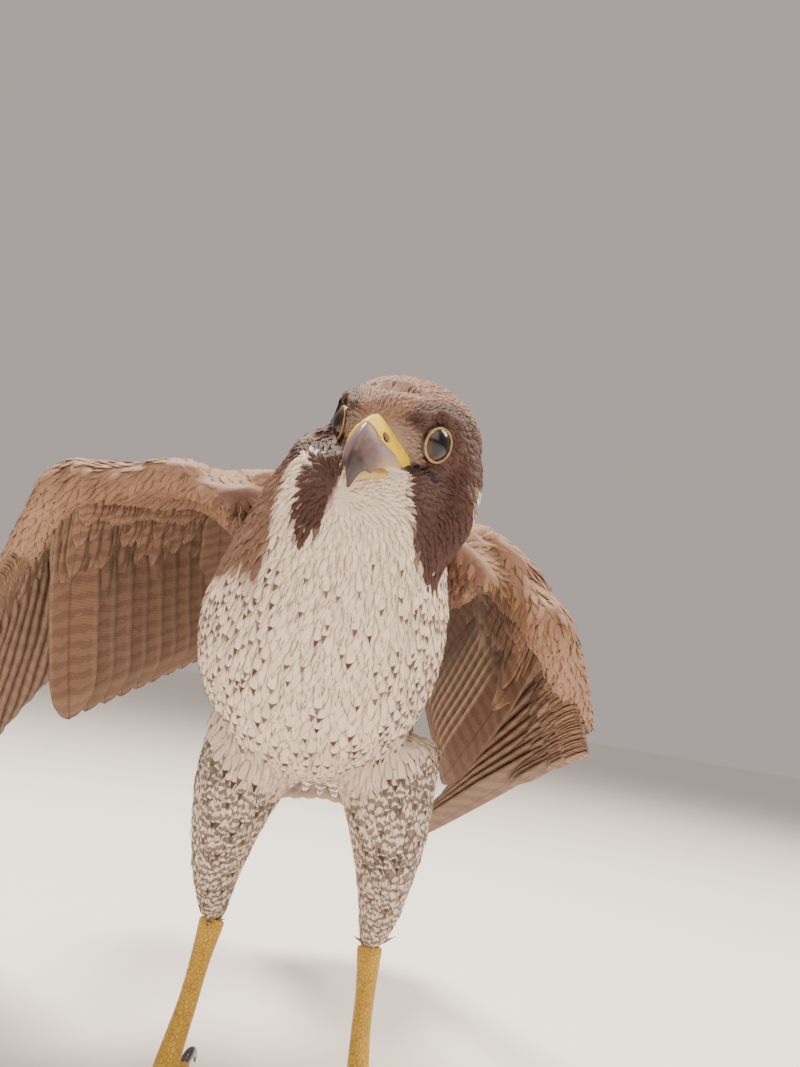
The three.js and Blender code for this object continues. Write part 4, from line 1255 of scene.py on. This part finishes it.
def bill_part(first, last, rings, around, swell):
    """Rings from the first to the last station number, where last has its own value for each turn."""
    turn = np.linspace(0, 2 * np.pi, around, endpoint=False)[None]
    step = np.linspace(0, 1, rings)[:, None]
    reach = first + (last - first) * step + 0 * turn
    grid = bill_surface(reach, turn + 0 * step, swell)
    ends = grid.mean(1)
    points = np.concatenate([ends[:1], grid.reshape(-1, 3), ends[-1:]])
    return points, np.concatenate([reach[0, :1], reach.ravel(), reach[-1, -1:]]), tube_faces(rings, around)


def with_nostrils(points):
    """Points near each nostril sink by a shallow bowl with a knob left in it and a low rim round it, and the
    inside of each bowl gets a strength of painted shade for the hole's depth.
    """
    dark = np.zeros(len(points))
    for side in (1, -1):
        look = unit([side, -0.3, 0.35])
        q = points - NOSTRIL * [side, 1, 1]
        off = np.linalg.norm(q - (q @ look)[:, None] * look, axis=1)
        here = (points[:, 0] * side > 1.5) & (off < 4)
        bowl = 1 - smooth(1.4, 1.85, off)
        knob = 0.4 * (1 - smooth(0.15, 0.5, off))
        rim = 0.3 * np.exp(-(((off - 2.25) / 0.4) ** 2))
        sink = bowl - knob - rim
        points = points - np.where(here, sink, 0)[:, None] * look
        # Inside each nostril the cere will be painted near black: painted shade standing for the depth of
        # the hole, knob included.
        dark = np.maximum(dark, here * (1 - smooth(1.5, 1.8, off)))
    return points, dark


def head_piece(name, points, faces, **stored):
    """A piece given in the head's frame, with one stored number for each point under each given name."""
    piece = mesh_of(name, from_head(points), faces)
    for key, values in stored.items():
        piece.data.attributes.new(key, "FLOAT", "POINT").data.foreach_set("value", values)
    faces_out(piece)
    return piece


print("bill stations:", len(BILL))

# %% [markdown]
# ## Cere and horn
# Both are the same surface, cut along one slanting edge. The cere is swollen by 0.35 millimetres, as soft
# skin is, and the horn starts a little under it, so no slit is left between them. The nostrils are pressed
# into the cere's points, and how much painted shade each point gets inside them is stored for its colour.

# %% Cere and horn
turn = np.linspace(0, 2 * np.pi, 200, endpoint=False)
height = np.where(np.sin(turn) > 0, np.abs(np.sin(turn)) ** 1.25, 0)
front_edge = np.interp(height, [0, 0.12, 0.27, 0.45, 0.62, 1], [1.3, 1.6, 2.05, 2.6, 2.95, 3.0])
cere_points, _, cere_faces = bill_part(0.2, front_edge[None], rings=110, around=200, swell=0.35)
cere_points, dark = with_nostrils(cere_points)
cere = head_piece("cere_skin", cere_points, cere_faces, hole=dark)
horn_points, reach, horn_faces = bill_part(front_edge[None] - 0.06, 8.0, rings=90, around=200, swell=0.0)
horn = head_piece("horn", horn_points, horn_faces, reach=reach, low=-8 - horn_points[:, 2])

cere_material, start, link = new_material("cere", Roughness=0.55, Specular_IOR_Level=0.3)
object_at = start.node("ShaderNodeTexCoord", output=3)
pores = object_at.noise(2200.0, 3.0)
painted_nostril_shade = start.node("ShaderNodeAttribute", {"attribute_name": "hole"}, output=2)
tone = object_at.noise(300.0).mix(linear(244, 206, 40), linear(226, 178, 30))
# The nostrils are painted near black: painted shade for the depth of the holes.
link("Base Color", painted_nostril_shade.mix(tone, (0.006, 0.004, 0.003, 1)))
link("Normal", pores.bump(0.35, 0.0002))
horn_material, start, link = new_material("horn", Roughness=0.36, Coat_Weight=0.2)
reach = start.node("ShaderNodeAttribute", {"attribute_name": "reach"}, output=2)
object_at = start.node("ShaderNodeTexCoord", output=3)
streaks = object_at.noise(420.0, 4.0)
low = start.node("ShaderNodeAttribute", {"attribute_name": "low"}, output=2)
tone = (reach + streaks * 1.6 - 0.8).step(2.4, 4.6).mix(linear(152, 134, 134), linear(102, 82, 80))
tone = (reach + streaks * 1.2 - 0.6).step(4.4, 5.8).mix(tone, linear(50, 34, 32))
tone = (low.step(-4.5, 0.0) * reach.step(4.4, 2.6) * 0.75).mix(tone, linear(196, 164, 106))
link("Base Color", tone)
link("Normal", streaks.bump(0.12, 0.0003))
finish(cere, cere_material, "bare_skin", "cere")
finish(horn, horn_material, "bill", "upper_bill")

# %% [markdown]
# ## The lower bill
# Little of the lower bill is seen under the closed upper one, so a flat tube that narrows to its tip is
# enough for it.

# %% Lower bill
LOWER_BILL = [[0, -8, -10.9], [0, -18, -10.9], [0, -24, -10.6], [0, -28.4, -10.4]]
LOWER_BILL_SIZE = [[9.4, 3.4], [8, 3.2], [5.6, 2.7], [2.6, 1.6]]
lower_points, lower_faces = tube(LOWER_BILL, LOWER_BILL_SIZE, (0, 0, 1), around=32)
lower = head_piece("lower_mandible", lower_points, lower_faces)
lower_material, start, link = new_material("lower_bill", Roughness=0.4)
grain = start.node("ShaderNodeTexCoord", output=3).noise(500.0, 3.0)
link("Base Color", grain.mix(linear(206, 176, 92), linear(168, 142, 96)))
finish(lower, lower_material, "bill", "lower_bill")

# %% [markdown]
# ## Legs and feet
# The shank and toes are scaled skin over bone with soft pads below each joint. They are tubes with swells
# at the joints, melted into one surface. The scales are a cell pattern that tilts the light and darkens the
# seams between them.

# %% Shanks and toes
TOES = [("inner", 38, 31), ("middle", 6, 45), ("outer", -46, 35), ("hind", 170, 23)]
FOOT = np.array([39, 5, 10.0])
SOLE_HEIGHT = 0.05


def toe_path(heading, side):
    """Gives a function from distances along the toe and heights over the floor to places."""
    a = np.radians(heading)
    ahead = np.array([-np.sin(a) * side, -np.cos(a), 0])
    base = mirrored(FOOT, side) * [1, 1, 0]
    return lambda far, height: base + np.outer(far, ahead) + np.outer(height, [0, 0, 1])


def foot_forms(side):
    """The shank, four toes with pads, and the ball of the foot."""
    shank = mirrored([[36, 30, 64], [37, 24, 48], [37.5, 17, 34], [39, 8, 17], [39, 5, 10]], side)
    forms = [tube(shank, [[5.8, 6.4], [4.4, 4.8], [4.3, 4.6], [5, 5.4], [6, 6]], (0, 1, 0))]
    for _, heading, long in TOES:
        at_toe = toe_path(heading, side)
        far = np.array([0, 0.13, 0.26, 0.38, 0.5, 0.6, 0.7, 0.8, 0.9, 0.98]) * long
        high = [9, 7.6, 6, 5.4, 5, 4.7, 4.8, 4.8, 4.6, 5.2]
        size = np.array([5.4, 5.4, 5.2, 4.3, 4.4, 5, 4.1, 4.0, 4.6, 3.4])
        forms.append(tube(at_toe(far, high), np.stack([size * 0.9, size * 0.95], 1), (0, 0, 1), steps=60))
    return forms


foot_material, start, link = new_material("scaled_skin", Roughness=0.5)
object_at = start.node("ShaderNodeTexCoord", output=3)
to_edge = {"feature": "DISTANCE_TO_EDGE"}
cells = object_at.node("ShaderNodeTexVoronoi", to_edge, {"Vector": object_at, "Scale": 620.0})
seam = cells.step(0.0, 0.14)
tone = object_at.noise(120.0).mix(linear(226, 184, 70), linear(204, 152, 52))
link("Base Color", ((1 - seam) * 0.45).mix(tone, linear(120, 82, 34)))
link("Normal", seam.bump(0.6, 0.0006))
for name, side in (("left", 1), ("right", -1)):
    leg = one_surface(f"leg_{name}", foot_forms(side), voxel=0.7, rounds=4)
    points, _ = corners_of(leg)
    points[:, 2] = np.maximum(points[:, 2], SOLE_HEIGHT)
    leg.data.vertices.foreach_set("co", place(points).ravel())
    finish(leg, foot_material, "bare_skin", f"shank_{name}", f"foot_{name}")

# %% [markdown]
# ## Claws
# A claw is a curved horn that narrows to its point. It could be cut from a cone, but a tube along an arc
# bends and narrows at once. Its root lies inside the end of the toe.

# %% Claws
CLAW_ARC = np.array([[-4, 5.6], [3, 8.2], [8.5, 7.9], [12.5, 5.3], [14.4, 1.9]])
CLAW_SIZE = [[2.1, 2.7], [2.2, 2.8], [1.8, 2.2], [1.1, 1.4], [0.4, 0.5]]
claw_material, start, link = new_material("claw", Roughness=0.22, Coat_Weight=0.4)
grain = start.node("ShaderNodeTexCoord", output=3).noise(260.0, 3.0)
link("Base Color", grain.mix((0.02, 0.016, 0.015, 1), linear(74, 62, 58)))
for name, side in (("left", 1), ("right", -1)):
    for toe, heading, long in TOES:
        at_toe = toe_path(heading, side)
        arc = at_toe(long + CLAW_ARC[:, 0], CLAW_ARC[:, 1])
        points, faces = tube(arc, CLAW_SIZE, (0, 0, 1), around=20, steps=36)
        piece = mesh_of(f"talon_{name}_{toe}", points, faces)
        faces_out(piece)
        finish(piece, claw_material, "claw", f"claw_{name}_{toe}")

# %% [markdown]
# ## Floor and light
# A museum stand is plain, so the floor is pale and the light soft. Two warm lamps stand high behind the
# bird, one to each side, where its crown and wing edges catch them. A wider and paler one fills the front.

# %% Floor and lights
floor_piece = bpy.data.objects.new("floor", bpy.data.meshes.new("floor"))
floor_piece.data.from_pydata([(-60, -60, 0), (60, -60, 0), (60, 60, 0), (-60, 60, 0)], [], [(0, 1, 2, 3)])
bpy.context.scene.collection.objects.link(floor_piece)
floor_material, start, link = new_material("floor", Roughness=0.85)
cloud = start.node("ShaderNodeTexCoord", output=3).noise(3.0)
link("Base Color", cloud.mix(linear(245, 240, 234), linear(248, 243, 238)))
floor_piece.data.materials.append(floor_material)


def lamp(name, at_mm, target_mm, watts, size, colour):
    """A square lamp at a place, turned to look at a target."""
    light = bpy.data.lights.new(name, "AREA")
    light.energy, light.size, light.color = watts, size, colour
    piece = bpy.data.objects.new(name, light)
    bpy.context.scene.collection.objects.link(piece)
    from_at, to_at = place(at_mm), place(target_mm)
    back = unit(from_at - to_at)
    right = unit(np.cross([0, 0, 1], back))
    turned = np.eye(4)
    turned[:3, :4] = np.stack([right, np.cross(back, right), back, from_at], 1)
    piece.matrix_world = Matrix(turned.tolist())


lamp("sun_window", (-500, 260, 1400), (0, -40, 220), 40, 0.5, (1.0, 0.9, 0.78))
lamp("side_window", (1300, 500, 2000), (40, -40, 220), 75, 1.0, (1.0, 0.88, 0.76))
lamp("front_fill", (500, -1500, 1200), (0, 0, 200), 15, 1.4, (1.0, 0.93, 0.88))
world = bpy.data.worlds.new("surround")
world.use_nodes = True
world.node_tree.nodes["Background"].inputs["Color"].default_value = linear(232, 220, 212)
world.node_tree.nodes["Background"].inputs["Strength"].default_value = 0.6
bpy.context.scene.world = world
print("lamps:", len(bpy.data.lights))

# %% [markdown]
# ## The camera
# The camera stands low in front of the bird and looks slightly up. Its place, the way it looks and its up
# were fitted to the eye, the nostril, the tip of the bill and the crown.

# %% Camera
CAMERA_AT = np.array([17, -361, 171.0])
CAMERA_LOOK = [0.0, 0.978, 0.208]
CAMERA_UP = [-0.174, -0.205, 0.963]
SENSOR_HEIGHT = 36
FOCAL_SHARE = 800 / 1067
camera = bpy.data.objects.new("camera", bpy.data.cameras.new("camera"))
bpy.context.scene.collection.objects.link(camera)
forward = unit(CAMERA_LOOK)
right = unit(np.cross(forward, CAMERA_UP))
turned = np.eye(4)
turned[:3, :4] = np.stack([right, np.cross(right, forward), -forward, place(CAMERA_AT)], 1)
camera.matrix_world = Matrix(turned.tolist())
camera.data.lens = FOCAL_SHARE * SENSOR_HEIGHT
camera.data.clip_start = 0.01
bpy.context.scene.camera = camera
print("lens in millimetres:", round(camera.data.lens, 2))

# %% [markdown]
